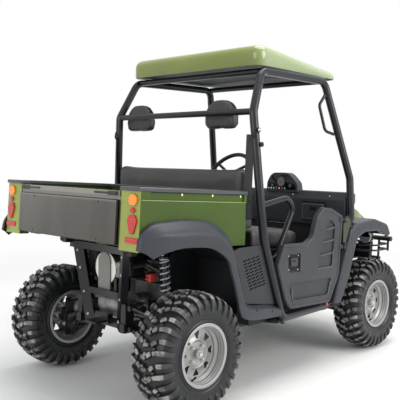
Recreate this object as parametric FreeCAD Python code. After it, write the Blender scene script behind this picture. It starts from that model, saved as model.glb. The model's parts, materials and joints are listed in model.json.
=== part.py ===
"""Side by side utility vehicle: two seats, tipping cargo bed, four driven wheels.

Axes: +X to the front, +Y to the left, +Z up, ground at Z = 0, millimetres.
Lengths along X are measured from the rear axle here, and write() moves every
piece so that the origin is on the ground in the middle of the vehicle.
"""
import FreeCAD
import Part
import os
from math import acos, atan2, cos, degrees, radians, sin, tan

os.makedirs("parts", exist_ok=True)

# Clearances
SEAT_GAP = 0.3
PIN_GAP = 0.09
MOVE_GAP = 6.0

# Wheels
WHEELBASE = 1825.0
TYRE_R = 317.0
CARCASS_R = 298.0
BEAD_R = 152.4
LIP_R = 166.0
REAR_TYRE_Y = 583.0
REAR_TYRE_W = 266.0
REAR_RIM_W = 250.0
FRONT_TYRE_Y = 556.0
FRONT_TYRE_W = 214.0
FRONT_RIM_W = 170.0
LUG_PITCHES = 16
RIM_WALL = 5.0
DISC_INSET = 62.0
DISC_HOLES = 8
HUB_R = 34.0
DRUM_BOSSES = 6
STUB_R = 15.0

# Steering and suspension
KINGPIN_Y = 465.0
KINGPIN_R = 8.0
CV_R = 33.0
ARM_R = 13.0
ARM_LOW_Z = 265.0
ARM_TOP_Z = 420.0
REAR_ARM_LOW_Z = 382.0
REAR_ARM_TOP_Z = 500.0
REAR_PIVOT_Y = 226.0
FRONT_PIVOT_Y = 240.0
REAR_ARM_SPREAD = 100.0
FRONT_ARM_SPREAD = 140.0
RACK_X = WHEELBASE + 92.0
RACK_Z = 306.0
RACK_R = 9.0
REAR_CASE_Y = 178.0
REAR_CASE_Z = 478.0
FRONT_CASE_Y = 79.0
COILS = 10
COIL_R = 28.0
WHEEL_TILT = 38.0
STEER_X = 1310.0
STEER_Y = 330.0
STEER_Z = 1218.0
STEER_R = 180.0
COLUMN_R = 24.0
COLUMN_LEN = 230.0

# Main frame
RAIL_Y = 200.0
RAIL_Z = 262.0
RAIL_W = 40.0
RAIL_H = 50.0
FLOOR_Z = 350.0
FRAME_FRONT_X = WHEELBASE + 285
TOWER_X = WHEELBASE - 185
TOWER_Y = 236.0
TOWER_Z = 770.0
REAR_OUTRIGGER_X = 690.0
FRONT_OUTRIGGER_X = 1190.0
LEG_X = -90.0
LEG_Y = 136.0
REAR_RAIL_Z = 385.0
TUBE_R = 25.0
CROSSBAR_R = 19.0

# Cargo bed, built level and then pitched about its lower rear edge
BED_FRONT_X = 407.0
BED_Z = 882.0
BED_PITCH = 2.9
BED_LEN = 787.0
BED_X = BED_FRONT_X - BED_LEN
BED_HALF_W = 615.0
BED_WALL = 24.0
BED_FLOOR = 20.0
BED_TOP = 283.0
BED_CREASE = 239.0
RAIL_TOP_H = 21.0
POST_IN_Y = 466.0
POST_DEPTH = 62.0
GATE_T = 30.0
GATE_HINGE = 9.0
GATE_PIN_R = 5.0
TIP_X = -175.0
TIP_DROP = 34.0
TIP_PIN_R = 9.0
DECK_Y = 285.0
DECK_W = 36.0

# Muffler, whose end plate stands on a cross tube of the frame
MUFFLER_X = -88.0
MUFFLER_Y = 15.0
MUFFLER_Z = 690.0
MUFFLER_R = 93.0
CROSS_X = -108.0

# Overall length: the lamps on the bed's posts and the guard's top bar
GUARD_X = WHEELBASE + 521
GUARD_R = 19.0
REAR_X = BED_X - 21
FRONT_X = GUARD_X + GUARD_R
MID_X = (REAR_X + FRONT_X) / 2

# Cab
DOOR_OUT_Y = 682.0
DOOR_T = 28.0
HINGE_X = 1313.0
HINGE_Y = 690.0
HINGE_PIN_R = 4.0
SKIN = 6.0
FLARE_OUT_Y = 702.0
VENT_ROWS = 10
VENT_COLUMNS = 4
FLARE_IN_Y = BED_HALF_W + MOVE_GAP + 2
SEAT_HALF_W = 575.0
CUSHION_TOP = 912.0
HEADREST_BAR_X = 480.0
HEADREST_BAR_Z = 1601.0
FLOOR_T = 12.0
ROOF_Z = 1875.0
DASH_HALF_W = 612.0
DASH_FRONT_X = 1560.0
POCKET_Y0 = -455.0
POCKET_Y1 = -255.0


def vec(x, y, z):
    return FreeCAD.Vector(x, y, z)


def write(name, shape):
    moved = shape.copy()
    moved.translate(vec(-MID_X, 0, 0))
    moved.exportStep("parts/" + name + ".step")


def box(x0, x1, y0, y1, z0, z1):
    """Block between two corners."""
    return Part.makeBox(x1 - x0, y1 - y0, z1 - z0, vec(x0, y0, z0))


def rod(start, end, radius):
    """Round bar from start to end."""
    run = end - start
    return Part.makeCylinder(radius, run.Length, start, run)


def fuse(shapes):
    """One shape from a list of overlapping or touching shapes."""
    first = shapes[0]
    if len(shapes) == 1:
        return first
    return first.multiFuse(shapes[1:]).removeSplitter()


def mirror(shape):
    """The same piece on the other side of the vehicle."""
    return shape.mirror(vec(0, 0, 0), vec(0, 1, 0))


def pair(shape):
    """A left piece and its mirror image, as solids that don't touch."""
    return Part.makeCompound(shape.Solids + mirror(shape).Solids)


def corner_points(corners):
    """Line ends and arcs of a closed outline of (a, b, corner radius) rows."""
    rows = []
    count = len(corners)
    for i in range(count):
        a, b, r = corners[i]
        here = vec(a, b, 0)
        back = (vec(corners[i - 1][0], corners[i - 1][1], 0) - here).normalize()
        ahead_row = corners[(i + 1) % count]
        ahead = (vec(ahead_row[0], ahead_row[1], 0) - here).normalize()
        half = acos(max(-1.0, min(1.0, back.dot(ahead)))) / 2
        if r <= 0:
            rows.append((here, None, here))
            continue
        cut = r / tan(half)
        middle = (back + ahead).normalize()
        arc_mid = here + middle * (r / sin(half) - r)
        rows.append((here + back * cut, arc_mid, here + ahead * cut))
    return rows


def outline(corners, place):
    """Face with rounded corners; place turns (a, b) into a point in space."""
    rows = corner_points(corners)
    edges = []
    for i, (start, middle, end) in enumerate(rows):
        if middle is not None:
            arc = Part.Arc(place(start), place(middle), place(end))
            edges.append(arc.toShape())
        following = rows[(i + 1) % len(rows)][0]
        if (following - end).Length > 1e-6:
            edges.append(Part.LineSegment(place(end), place(following)).toShape())
    return Part.Face(Part.Wire(edges))


def side_plate(corners, y0, y1):
    """Outline in the (x, z) plane, as thick as y0 to y1."""
    face = outline(corners, lambda p: vec(p.x, y0, p.y))
    return face.extrude(vec(0, y1 - y0, 0))


def cross_plate(corners, x0, x1):
    """Outline in the (y, z) plane, as thick as x0 to x1."""
    face = outline(corners, lambda p: vec(x0, p.x, p.y))
    return face.extrude(vec(x1 - x0, 0, 0))


def flat_plate(corners, z0, z1):
    """Outline in the (x, y) plane, as thick as z0 to z1."""
    face = outline(corners, lambda p: vec(p.x, p.y, z0))
    return face.extrude(vec(0, 0, z1 - z0))


def bar(start, end, width, height):
    """Rectangular bar along a line; width is across, height is upwards."""
    run = end - start
    along = vec(run.x, run.y, run.z).normalize()
    across = vec(0, 0, 1).cross(along)
    if across.Length < 1e-6:
        across = vec(0, 1, 0)
    across.normalize()
    up = along.cross(across)
    a = across * (width / 2)
    b = up * (height / 2)
    points = [start - a - b, start + a - b, start + a + b, start - a + b]
    wire = Part.makePolygon(points + [points[0]])
    return Part.Face(wire).extrude(run)


def bent_tube(points, radius, bend, closed=False):
    """Round tube along straight runs joined by tangent bends."""
    count = len(points)
    tangents = []
    for i, here in enumerate(points):
        if not closed and i in (0, count - 1):
            tangents.append((here, None, None, here))
            continue
        back = (points[i - 1] - here).normalize()
        ahead = (points[(i + 1) % count] - here).normalize()
        half = acos(max(-1.0, min(1.0, back.dot(ahead)))) / 2
        cut = bend / tan(half)
        normal = back.cross(ahead).normalize()
        centre = here + (back + ahead).normalize() * (bend / sin(half))
        turn = 180 - 2 * degrees(half)
        tangents.append((here + back * cut, centre, (normal * -1, turn), here + ahead * cut))
    pieces = []
    last = count if closed else count - 1
    for i in range(last):
        start = tangents[i][3]
        end = tangents[(i + 1) % count][0]
        pieces.append(rod(start, end, radius))
    for start, centre, bend_row, end in tangents:
        if centre is None:
            continue
        normal, turn = bend_row
        heading = normal.cross(start - centre)
        circle = Part.makeCircle(radius, start, heading)
        face = Part.Face(Part.Wire([circle]))
        pieces.append(face.revolve(centre, normal, turn))
    return fuse(pieces)


def revolve_y(rows, centre, turn=360.0):
    """Ring about a line along Y; rows are (distance along Y, radius)."""
    points = [vec(centre.x, centre.y + a, centre.z + r) for a, r in rows]
    wire = Part.makePolygon(points + [points[0]])
    return Part.Face(wire).revolve(centre, vec(0, 1, 0), turn)


def level_bed(u, y, w):
    """Point of the level bed: u forward of its rear face, w above its floor's underside."""
    return vec(BED_X + u, y, BED_Z + w)


def pitched(shape):
    """The level bed's shape, turned down to the front about its lower rear edge."""
    turned = shape.copy()
    turned.rotate(vec(BED_X, 0, BED_Z), vec(0, 1, 0), BED_PITCH)
    return turned


def pitched_point(u, w):
    """Where a point of the level bed comes to lie, as (x, z)."""
    a = radians(BED_PITCH)
    return (BED_X + u * cos(a) + w * sin(a), BED_Z - u * sin(a) + w * cos(a))


def bed_block(u0, u1, y0, y1, w0, w1):
    low = level_bed(u0, y0, w0)
    return Part.makeBox(u1 - u0, y1 - y0, w1 - w0, low)


# Wheels


def tyre(centre_x, centre_y, width, rim_width):
    """Carcass ring with two staggered rows of lugs that wrap its shoulders."""
    centre = vec(centre_x, centre_y, TYRE_R)
    half = width / 2
    bead = rim_width / 2 - RIM_WALL
    # distance along the axle, radius
    profile = [
        (-bead, BEAD_R), (-bead, LIP_R + 3), (-half, LIP_R + 38), (-half, CARCASS_R - 46),
        (-half + 26, CARCASS_R - 8), (0, CARCASS_R + 3), (half - 26, CARCASS_R - 8),
        (half, CARCASS_R - 46), (half, LIP_R + 38), (bead, LIP_R + 3), (bead, BEAD_R),
        (bead - 22, BEAD_R), (half - 14, LIP_R + 42), (half - 20, CARCASS_R - 50),
        (-half + 20, CARCASS_R - 50), (-half + 14, LIP_R + 42), (-bead + 22, BEAD_R),
    ]
    shell = revolve_y(profile, centre)
    lugs = []
    step = 360.0 / LUG_PITCHES
    for side in (-1, 1):
        for i in range(LUG_PITCHES):
            lug = tread_lug(centre, half, side, i % 2)
            angle = step * (i + (0.5 if side > 0 else 0.0))
            lug.rotate(centre, vec(0, 1, 0), angle)
            lugs.append(lug)
    return shell.multiFuse(lugs)


def tread_lug(centre, half, side, kind):
    """One lug: a slanted block from near the tread's middle, over the shoulder."""
    inner = 6.0 if kind else 24.0
    outer = half - 1.0
    slant = 17.0
    thick = 15.0
    base = CARCASS_R - 30
    # along the axle, around the tyre, for the lug's top
    a = [(inner, -slant - thick), (inner, -slant + thick),
         (outer, slant + thick), (outer, slant - thick)]
    wire = Part.makePolygon([vec(centre.x + v, centre.y + side * u, centre.z + base)
                             for u, v in a + [a[0]]])
    block = Part.Face(wire).extrude(vec(0, 0, TYRE_R + 4 - base))
    # along the axle, radius
    crown = [
        (inner - 1, base - 5), (inner - 1, TYRE_R - 0.3), (half - 34, TYRE_R - 4),
        (half - 4, TYRE_R - 34), (half, CARCASS_R - 60), (half - 20, CARCASS_R - 60),
        (half - 40, base - 5),
    ]
    points = [vec(centre.x - 60, centre.y + side * u, centre.z + r) for u, r in crown]
    limit = Part.Face(Part.makePolygon(points + [points[0]])).extrude(vec(120, 0, 0))
    return block.common(limit)


def rim(centre_x, centre_y, rim_width, side, stub_end_y, drum_y):
    """Steel rim: lips, drop centre, and a pressed disc with a ring of windows."""
    centre = vec(centre_x, centre_y, TYRE_R)
    half = rim_width / 2
    t = RIM_WALL
    # distance along the axle towards the outside, outer radius of the barrel
    barrel = [
        (-half, LIP_R), (-half + t, LIP_R), (-half + t, BEAD_R), (-half + 38, BEAD_R),
        (-half + 50, BEAD_R - 18), (half - 62, BEAD_R - 18), (half - 50, BEAD_R),
        (half - t, BEAD_R), (half - t, LIP_R), (half, LIP_R),
        (half, BEAD_R - t), (half - 48, BEAD_R - t), (half - 60, BEAD_R - 18 - t),
        (-half + 48, BEAD_R - 18 - t), (-half + 36, BEAD_R - t), (-half, BEAD_R - t),
    ]
    shell = revolve_y([(side * a, r) for a, r in barrel], centre)
    face = half - DISC_INSET
    disc_r = BEAD_R - 18 - t + 1
    disc_rows = [
        (face - 16, 0.1), (face - 16, 62), (face - 2, 74), (face - 8, disc_r),
        (face - 2, disc_r), (face + 6, 72), (face - 8, 58), (face - 8, 0.1),
    ]
    disc = revolve_y([(side * a, r) for a, r in disc_rows], centre)
    window = [(-5, 80), (5, 80), (20, 110), (14, 116), (-14, 116), (-20, 110)]
    cuts = []
    for i in range(DISC_HOLES):
        points = [vec(centre.x + v, centre.y + side * (face - 40), centre.z + r) for v, r in window]
        cutter = Part.Face(Part.makePolygon(points + [points[0]])).extrude(vec(0, side * 60, 0))
        cutter.rotate(centre, vec(0, 1, 0), 360.0 / DISC_HOLES * i)
        cuts.append(cutter)
    disc = disc.cut(cuts)
    cap_y = centre.y + side * (face + 26)
    hub = rod(vec(centre.x, centre.y + side * (face - 34), centre.z), vec(centre.x, cap_y, centre.z),
              HUB_R)
    stub = rod(vec(centre.x, stub_end_y, centre.z), vec(centre.x, cap_y, centre.z), STUB_R)
    pieces = [shell, disc, hub, stub]
    if drum_y > 0:
        pieces.append(brake_drum(centre, side, face, drum_y))
    return fuse(pieces)


def brake_drum(centre, side, face, drum_y):
    """Finned hub behind the disc: a drum with round bosses about its edge."""
    start = drum_y
    end = centre.y + side * (face - 12)
    pieces = [rod(vec(centre.x, start, centre.z), vec(centre.x, end, centre.z), 56)]
    for i in range(DRUM_BOSSES):
        a = radians(360.0 / DRUM_BOSSES * i + 90)
        x = centre.x + 60 * cos(a)
        z = centre.z + 60 * sin(a)
        pieces.append(rod(vec(x, start + side * 8, z), vec(x, end, z), 17))
    return fuse(pieces)


def wheels():
    # name, axle x, tyre centre y, tyre width, rim width, inner ends of stub and drum
    rows = (
        ("rear", 0.0, REAR_TYRE_Y, REAR_TYRE_W, REAR_RIM_W, rear_stub_y(), rear_drum_y()),
        ("front", WHEELBASE, FRONT_TYRE_Y, FRONT_TYRE_W, FRONT_RIM_W, front_stub_y(), 0.0),
    )
    for name, x, y, width, rim_width, stub_y, drum_y in rows:
        left_tyre = tyre(x, y, width, rim_width)
        left_rim = rim(x, y, rim_width, 1, stub_y, drum_y)
        write("tyre_" + name + "_left", left_tyre)
        write("tyre_" + name + "_right", mirror(left_tyre))
        write("rim_" + name + "_left", left_rim)
        write("rim_" + name + "_right", mirror(left_rim))


def rear_stub_y():
    return KINGPIN_Y + 22


def rear_drum_y():
    return KINGPIN_Y + 75 + MOVE_GAP


def front_stub_y():
    return KINGPIN_Y + CV_R + MOVE_GAP


# Steering and suspension


def front_knuckle():
    """Upright with two kingpins, a bearing housing and a steering arm."""
    x = WHEELBASE
    plate_in = KINGPIN_Y + CV_R + MOVE_GAP
    plate_out = plate_in + 24
    upright = box(x - 22, x + 22, plate_in, plate_out, TYRE_R - 86, TYRE_R + 86)
    housing = rod(vec(x, plate_in, TYRE_R), vec(x, plate_out + 12, TYRE_R), 42)
    ears = []
    for side in (-1, 1):
        z_in = TYRE_R + side * 61
        z_out = TYRE_R + side * 79
        ears.append(box(x - 18, x + 18, KINGPIN_Y - 16, plate_out, min(z_in, z_out), max(z_in, z_out)))
        pin_end = TYRE_R + side * 116
        ears.append(rod(vec(x, KINGPIN_Y, z_in), vec(x, KINGPIN_Y, pin_end), KINGPIN_R))
    arm = box(x, RACK_X + 12, plate_in, plate_in + 16, RACK_Z + 12, RACK_Z + 24)
    tip = box(RACK_X - 12, RACK_X + 12, KINGPIN_Y - 14, plate_in + 16, RACK_Z + 12, RACK_Z + 24)
    body = fuse([upright, housing] + ears + [arm, tip])
    bore = rod(vec(x, plate_in - 1, TYRE_R), vec(x, plate_out + 21, TYRE_R), STUB_R + PIN_GAP)
    return body.cut(bore)


def rear_knuckle():
    """Hub carrier with its bearing bore and ears for both arms."""
    y0 = KINGPIN_Y + 20
    body = rod(vec(0, y0, TYRE_R), vec(0, y0 + 55, TYRE_R), 44)
    low = box(-24, 24, y0, y0 + 20, arm_outer_low() - 14, TYRE_R)
    top = box(-24, 24, y0, y0 + 20, TYRE_R, arm_outer_top() + 14)
    bore = rod(vec(0, y0 - 1, TYRE_R), vec(0, y0 + 56, TYRE_R), STUB_R + PIN_GAP)
    return fuse([body, low, top]).cut(bore)


def arm_outer_low():
    return TYRE_R - 104


def arm_outer_top():
    return TYRE_R + 104


def wishbone(x, pivot_y, outer_y, pivot_z, outer_z, spread, eye_r):
    """A-shaped arm: two tubes from the frame's pivots to one eye."""
    eye = vec(x, outer_y, outer_z)
    legs = []
    for side in (-1, 1):
        pivot = vec(x + side * spread, pivot_y, pivot_z)
        legs.append(rod(pivot, eye, ARM_R))
        legs.append(rod(pivot - vec(22, 0, 0), pivot + vec(22, 0, 0), ARM_R + 3))
    tie_y = pivot_y + (outer_y - pivot_y) * 0.62
    tie_z = pivot_z + (outer_z - pivot_z) * 0.62
    tie = spread * 0.38
    legs.append(rod(vec(x - tie, tie_y, tie_z), vec(x + tie, tie_y, tie_z), ARM_R - 3))
    legs.append(rod(eye - vec(0, 0, 9), eye + vec(0, 0, 9), eye_r))
    return fuse(legs)


def arms():
    """All eight arms; the front ones turn on the kingpins' ends."""
    solids = []
    # axle x, pivot y, outer y, z of the lower and upper pivots, spread, eye radius
    rows = (
        (0.0, REAR_PIVOT_Y + 12, KINGPIN_Y + 2, REAR_ARM_LOW_Z, REAR_ARM_TOP_Z, REAR_ARM_SPREAD, 18.0),
        (WHEELBASE, FRONT_PIVOT_Y + 12, KINGPIN_Y, ARM_LOW_Z, ARM_TOP_Z, FRONT_ARM_SPREAD, 19.0),
    )
    for x, pivot_y, outer_y, low_z, top_z, spread, eye_r in rows:
        low = wishbone(x, pivot_y, outer_y, low_z, arm_outer_low(), spread, eye_r)
        top = wishbone(x, pivot_y, outer_y, top_z, arm_outer_top(), spread, eye_r)
        if x > 0:
            for arm_z in (arm_outer_low(), arm_outer_top()):
                hole = rod(vec(x, outer_y, arm_z - 30), vec(x, outer_y, arm_z + 30), KINGPIN_R + PIN_GAP)
                low = low.cut(hole)
                top = top.cut(hole)
        solids += low.Solids + top.Solids
    return solids


def shock(top, bottom):
    """Damper with its coil as a stack of rings on the spring's sleeve."""
    run = bottom - top
    unit = vec(run.x, run.y, run.z).normalize()
    length = run.Length
    body = rod(top + unit * 18, bottom - unit * 14, 17)
    cup_top = rod(top + unit * 14, top + unit * 22, 31)
    cup_low = rod(bottom - unit * 60, bottom - unit * 52, 31)
    pieces = [body, cup_top, cup_low]
    free = length - 22 - 60
    for i in range(COILS):
        place = top + unit * (22 + free * (i + 0.5) / COILS)
        pieces.append(rod(place - unit * 4, place + unit * 4, COIL_R))
    for point in (top, bottom):
        pieces.append(rod(point - vec(16, 0, 0), point + vec(16, 0, 0), 15))
    return fuse(pieces)


def rear_shock_ends():
    tie_y = REAR_PIVOT_Y + 12 + (KINGPIN_Y + 2 - REAR_PIVOT_Y - 12) * 0.62
    tie_z = REAR_ARM_TOP_Z + (arm_outer_top() - REAR_ARM_TOP_Z) * 0.62
    return (vec(20, 366, 800), vec(REAR_ARM_SPREAD * 0.3, tie_y, tie_z + 24.7))


def front_shock_ends():
    return (vec(WHEELBASE, 318, 770), vec(WHEELBASE, 380, ARM_TOP_Z + 28))


def drive_shaft(x, inner_y, outer_y, inner_z, outer_z, cv_r):
    """Half shaft with a joint and a ribbed boot at each end; it slopes between level joints."""
    inner = vec(x, inner_y + 20, inner_z)
    outer = vec(x, outer_y - 20, outer_z)
    slope = degrees(atan2(outer_z - inner_z, outer.y - inner.y))
    pieces = [rod(inner, outer, 13)]
    for centre, end_y, way in ((inner, inner_y, 1), (outer, outer_y, -1)):
        pieces.append(rod(vec(x, end_y, centre.z), vec(x, end_y + way * 30, centre.z), cv_r))
        rows = [(0, 0.1), (0, cv_r - 3), (way * 14, cv_r - 3), (way * 24, cv_r - 11),
                (way * 32, cv_r - 8),
                (way * 42, cv_r - 15), (way * 50, cv_r - 13), (way * 62, 15), (way * 62, 0.1)]
        boot = revolve_y(rows, centre)
        boot.rotate(centre, vec(1, 0, 0), slope)
        pieces.append(boot)
    return fuse(pieces)


def front_shaft():
    """Front half shaft; its outer ball sits on the kingpin's line."""
    inner = drive_shaft(WHEELBASE, FRONT_CASE_Y + SEAT_GAP, KINGPIN_Y - 24, TYRE_R, TYRE_R, 30)
    ball = Part.makeSphere(CV_R, vec(WHEELBASE, KINGPIN_Y, TYRE_R))
    return fuse([inner, ball])


def suspension():
    knuckle = front_knuckle()
    write("front_knuckle_left", knuckle)
    write("front_knuckle_right", mirror(knuckle))
    rear = rear_knuckle()
    arm_solids = [arm.cut(rear) for arm in arms()]
    shocks = []
    for top, bottom in (rear_shock_ends(), front_shock_ends()):
        unit = shock(top, bottom)
        unit = unit.cut(arm_solids + [FRAME])
        shocks += unit.Solids
    write("rear_knuckles", pair(rear))
    write("suspension_arms", Part.makeCompound([s for a in arm_solids for s in pair(a).Solids]))
    write("shocks", Part.makeCompound([s for a in shocks for s in pair(a).Solids]))
    rear_shaft = drive_shaft(0.0, REAR_CASE_Y + SEAT_GAP, KINGPIN_Y + 20 - SEAT_GAP, REAR_CASE_Z, TYRE_R,
                             34)
    shafts = rear_shaft.Solids + front_shaft().Solids
    write("axle_shafts", Part.makeCompound([s for a in shafts for s in pair(a).Solids]))


def tie_rods():
    """Rack bar with a rod end under each steering arm."""
    bar_end = KINGPIN_Y
    pieces = [rod(vec(RACK_X, -bar_end, RACK_Z), vec(RACK_X, bar_end, RACK_Z), RACK_R)]
    for side in (-1, 1):
        low = vec(RACK_X, side * bar_end, RACK_Z - 12)
        pieces.append(rod(low, vec(RACK_X, side * bar_end, RACK_Z + 12 - SEAT_GAP), 12))
    return fuse(pieces)


def steering():
    write("tie_rods", tie_rods())
    housing = rod(vec(RACK_X, -120, RACK_Z), vec(RACK_X, 120, RACK_Z), 19)
    boot_rows = [(0, RACK_R + 1), (0, 18), (14, 18), (22, 14), (32, 17), (42, 13), (52, 15), (60, 12),
                 (60, RACK_R + 1)]
    left_boot = revolve_y(boot_rows, vec(RACK_X, 120, RACK_Z))
    box_joint = box(RACK_X - 24, RACK_X + 22, 60, 104, RACK_Z - 20, RACK_Z + 24)
    saddles = [box(RACK_X - 14, RACK_X + 14, y - 10, y + 10, RAIL_Z + 15 + SEAT_GAP,
                   RACK_Z) for y in (-90, 90)]
    housing = fuse([housing, left_boot, mirror(left_boot), box_joint] + saddles)
    housing = housing.cut(rod(vec(RACK_X, -200, RACK_Z), vec(RACK_X, 200, RACK_Z), RACK_R + PIN_GAP))
    write("steering_rack", housing)
    axis = steering_axis()
    hub = steering_centre()
    boss = rod(hub - axis * 42, hub + axis * 6, 26)
    ring = Part.makeTorus(STEER_R, 15, hub, axis)
    spokes = []
    across = vec(0, 1, 0)
    up = axis.cross(across).normalize()
    for angle in (90, 210, 330):
        a = radians(angle)
        tip = hub + across * (cos(a) * STEER_R) + up * (sin(a) * STEER_R)
        spokes.append(rod(hub - axis * 10, tip, 11))
    write("steering_wheel", fuse([boss, ring] + spokes))
    column_low = hub - axis * COLUMN_LEN
    column = rod(hub - axis * (42 + SEAT_GAP), column_low, COLUMN_R)
    write("steering_column", column)


def steering_axis():
    a = radians(WHEEL_TILT)
    return vec(-cos(a), 0, sin(a))


def steering_centre():
    return vec(STEER_X, STEER_Y, STEER_Z)


# Frame and driveline


def deck_point(u):
    """Centre of the deck rail under the bed, u forward of the bed's rear face."""
    return pitched_point(u, -TIP_DROP)


def both_sides(shapes):
    """Each shape with its mirror image."""
    return shapes + [mirror(shape) for shape in shapes]


def bars_from(rows):
    """Bars of both sides; a row holds both ends, then width and height."""
    return both_sides([bar(vec(*row[0:3]), vec(*row[3:6]), row[6], row[7]) for row in rows])


def crossbars(rows):
    """Bars across the vehicle from (x, half length, z, width, height) rows."""
    return [bar(vec(x, -half, z), vec(x, half, z), width, height) for x, half, z, width, height in rows]


def ladder():
    """Lower and upper rails with their cross tubes, outriggers and the arms' lugs."""
    rail_top = RAIL_Z + RAIL_H / 2
    upper_h = FLOOR_Z - rail_top
    upper_z = rail_top + upper_h / 2
    # x, y, z of both ends, width, height
    bars = bars_from((
        (245, RAIL_Y, RAIL_Z, FRAME_FRONT_X + 20, RAIL_Y, RAIL_Z, RAIL_W, RAIL_H),
        (-138, RAIL_Y, REAR_RAIL_Z, 150, RAIL_Y, REAR_RAIL_Z, RAIL_W, RAIL_H),
        (130, RAIL_Y, REAR_RAIL_Z + 4, 265, RAIL_Y, RAIL_Z - 2, RAIL_W, RAIL_H),
        (400, RAIL_Y, upper_z, TOWER_X + 20, RAIL_Y, upper_z, RAIL_W, upper_h),
        (REAR_OUTRIGGER_X, RAIL_Y, 325, REAR_OUTRIGGER_X, 640, 377, 40, 30),
        (FRONT_OUTRIGGER_X, RAIL_Y, 325, FRONT_OUTRIGGER_X, 620, 377, 40, 30),
    ))
    bars += crossbars((
        (270, RAIL_Y, RAIL_Z, 40, 40),
        (700, RAIL_Y, RAIL_Z, 40, 40),
        (FRONT_OUTRIGGER_X, RAIL_Y, RAIL_Z, 40, 40),
        (TOWER_X, RAIL_Y, RAIL_Z, 40, 40),
        (RACK_X, RAIL_Y, RAIL_Z, 40, 30),
        (FRAME_FRONT_X, RAIL_Y, RAIL_Z, 40, 50),
    ))
    # axle x, spread, pivot y, z of the lower and upper pivots
    lugs = (
        (0.0, REAR_ARM_SPREAD, REAR_PIVOT_Y, REAR_ARM_LOW_Z, REAR_ARM_TOP_Z),
        (WHEELBASE, FRONT_ARM_SPREAD, FRONT_PIVOT_Y, ARM_LOW_Z, ARM_TOP_Z),
    )
    for x, spread, pivot_y, low_z, top_z in lugs:
        plates = []
        for at in (x - spread, x + spread):
            plates.append(box(at - 30, at + 30, RAIL_Y - RAIL_W / 2, pivot_y - 4.5, low_z - 18,
                              top_z + 18))
        bars += both_sides(plates)
    return fuse(bars)


def rear_subframe():
    """Deck rails under the bed, the rear legs, the hitch and the bed's pins."""
    tip_u = (TIP_X - BED_X) / cos(radians(BED_PITCH))
    rear_deck = deck_point(tip_u - 12)
    front_deck = deck_point(BED_LEN + 13)
    bars = bars_from((
        (rear_deck[0], DECK_Y, rear_deck[1], front_deck[0], DECK_Y, front_deck[1], DECK_W, DECK_W),
        (-130, 216, 826, LEG_X, LEG_Y, 362, 40, 62),
        (420, RAIL_Y, 270, 420, DECK_Y, 812, 40, 40),
        (LEG_X, LEG_Y, REAR_RAIL_Z, LEG_X, RAIL_Y, REAR_RAIL_Z, 40, 40),
    ))
    bars += crossbars((
        (-128, DECK_Y, 812, 40, 40),
        (CROSS_X, 176, 553, 20, 36),
        (LEG_X, 150, 390, 20, 50),
        (420, DECK_Y, 790, 36, 36),
    ))
    tip_x, tip_z = tip_axis()
    pin = rod(vec(tip_x, DECK_Y - 10, tip_z), vec(tip_x, DECK_Y + 46, tip_z), TIP_PIN_R)
    pad_u = BED_LEN - 87
    pad = pitched(bed_block(pad_u, pad_u + 40, DECK_Y - 18, DECK_Y + 18, -TIP_DROP, -SEAT_GAP))
    mount = rod(vec(20, DECK_Y, 826), rear_shock_ends()[0], 14)
    hitch = cross_plate([(-60, 380, 8), (60, 380, 8), (60, 440, 8), (-60, 440, 8)], -124, -90)
    tongue = flat_plate([(-210, -45, 20), (-210, 45, 20), (-90, 45, 0), (-90, -45, 0)], 392, 404)
    left, right = MUFFLER_Y - 54, MUFFLER_Y + 54
    hanger = cross_plate([(left, 540, 0), (right, 540, 0), (right, 782, 52), (left, 782, 52)],
                         CROSS_X + 10,
                         MUFFLER_X - SEAT_GAP)
    whole = fuse(bars + both_sides([pin, pad, mount]) + [hitch, tongue, hanger])
    hole = rod(vec(-180, 0, 380), vec(-180, 0, 420), 10)
    return whole.cut([hole, LADDER])


def front_subframe():
    """Tower over the front axle that carries the dampers and the hood."""
    rear_x = TOWER_X - 80
    front_x = FRAME_FRONT_X - 30
    bars = bars_from((
        (TOWER_X, RAIL_Y, 270, TOWER_X, TOWER_Y, TOWER_Z, 34, 34),
        (WHEELBASE + 175, RAIL_Y, 270, WHEELBASE + 175, TOWER_Y, TOWER_Z, 34, 34),
        (rear_x, TOWER_Y, TOWER_Z, front_x, TOWER_Y, TOWER_Z, 34, 34),
    ))
    bars += crossbars(((rear_x, TOWER_Y, TOWER_Z, 34, 34), (front_x, TOWER_Y, TOWER_Z, 34, 34)))
    mount = rod(vec(WHEELBASE, TOWER_Y, TOWER_Z), front_shock_ends()[0], 14)
    return fuse(bars + both_sides([mount])).cut(LADDER)


def tip_axis():
    """Centre of the bed's tipping pin, as (x, z)."""
    tip_u = (TIP_X - BED_X) / cos(radians(BED_PITCH))
    return deck_point(tip_u)


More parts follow.
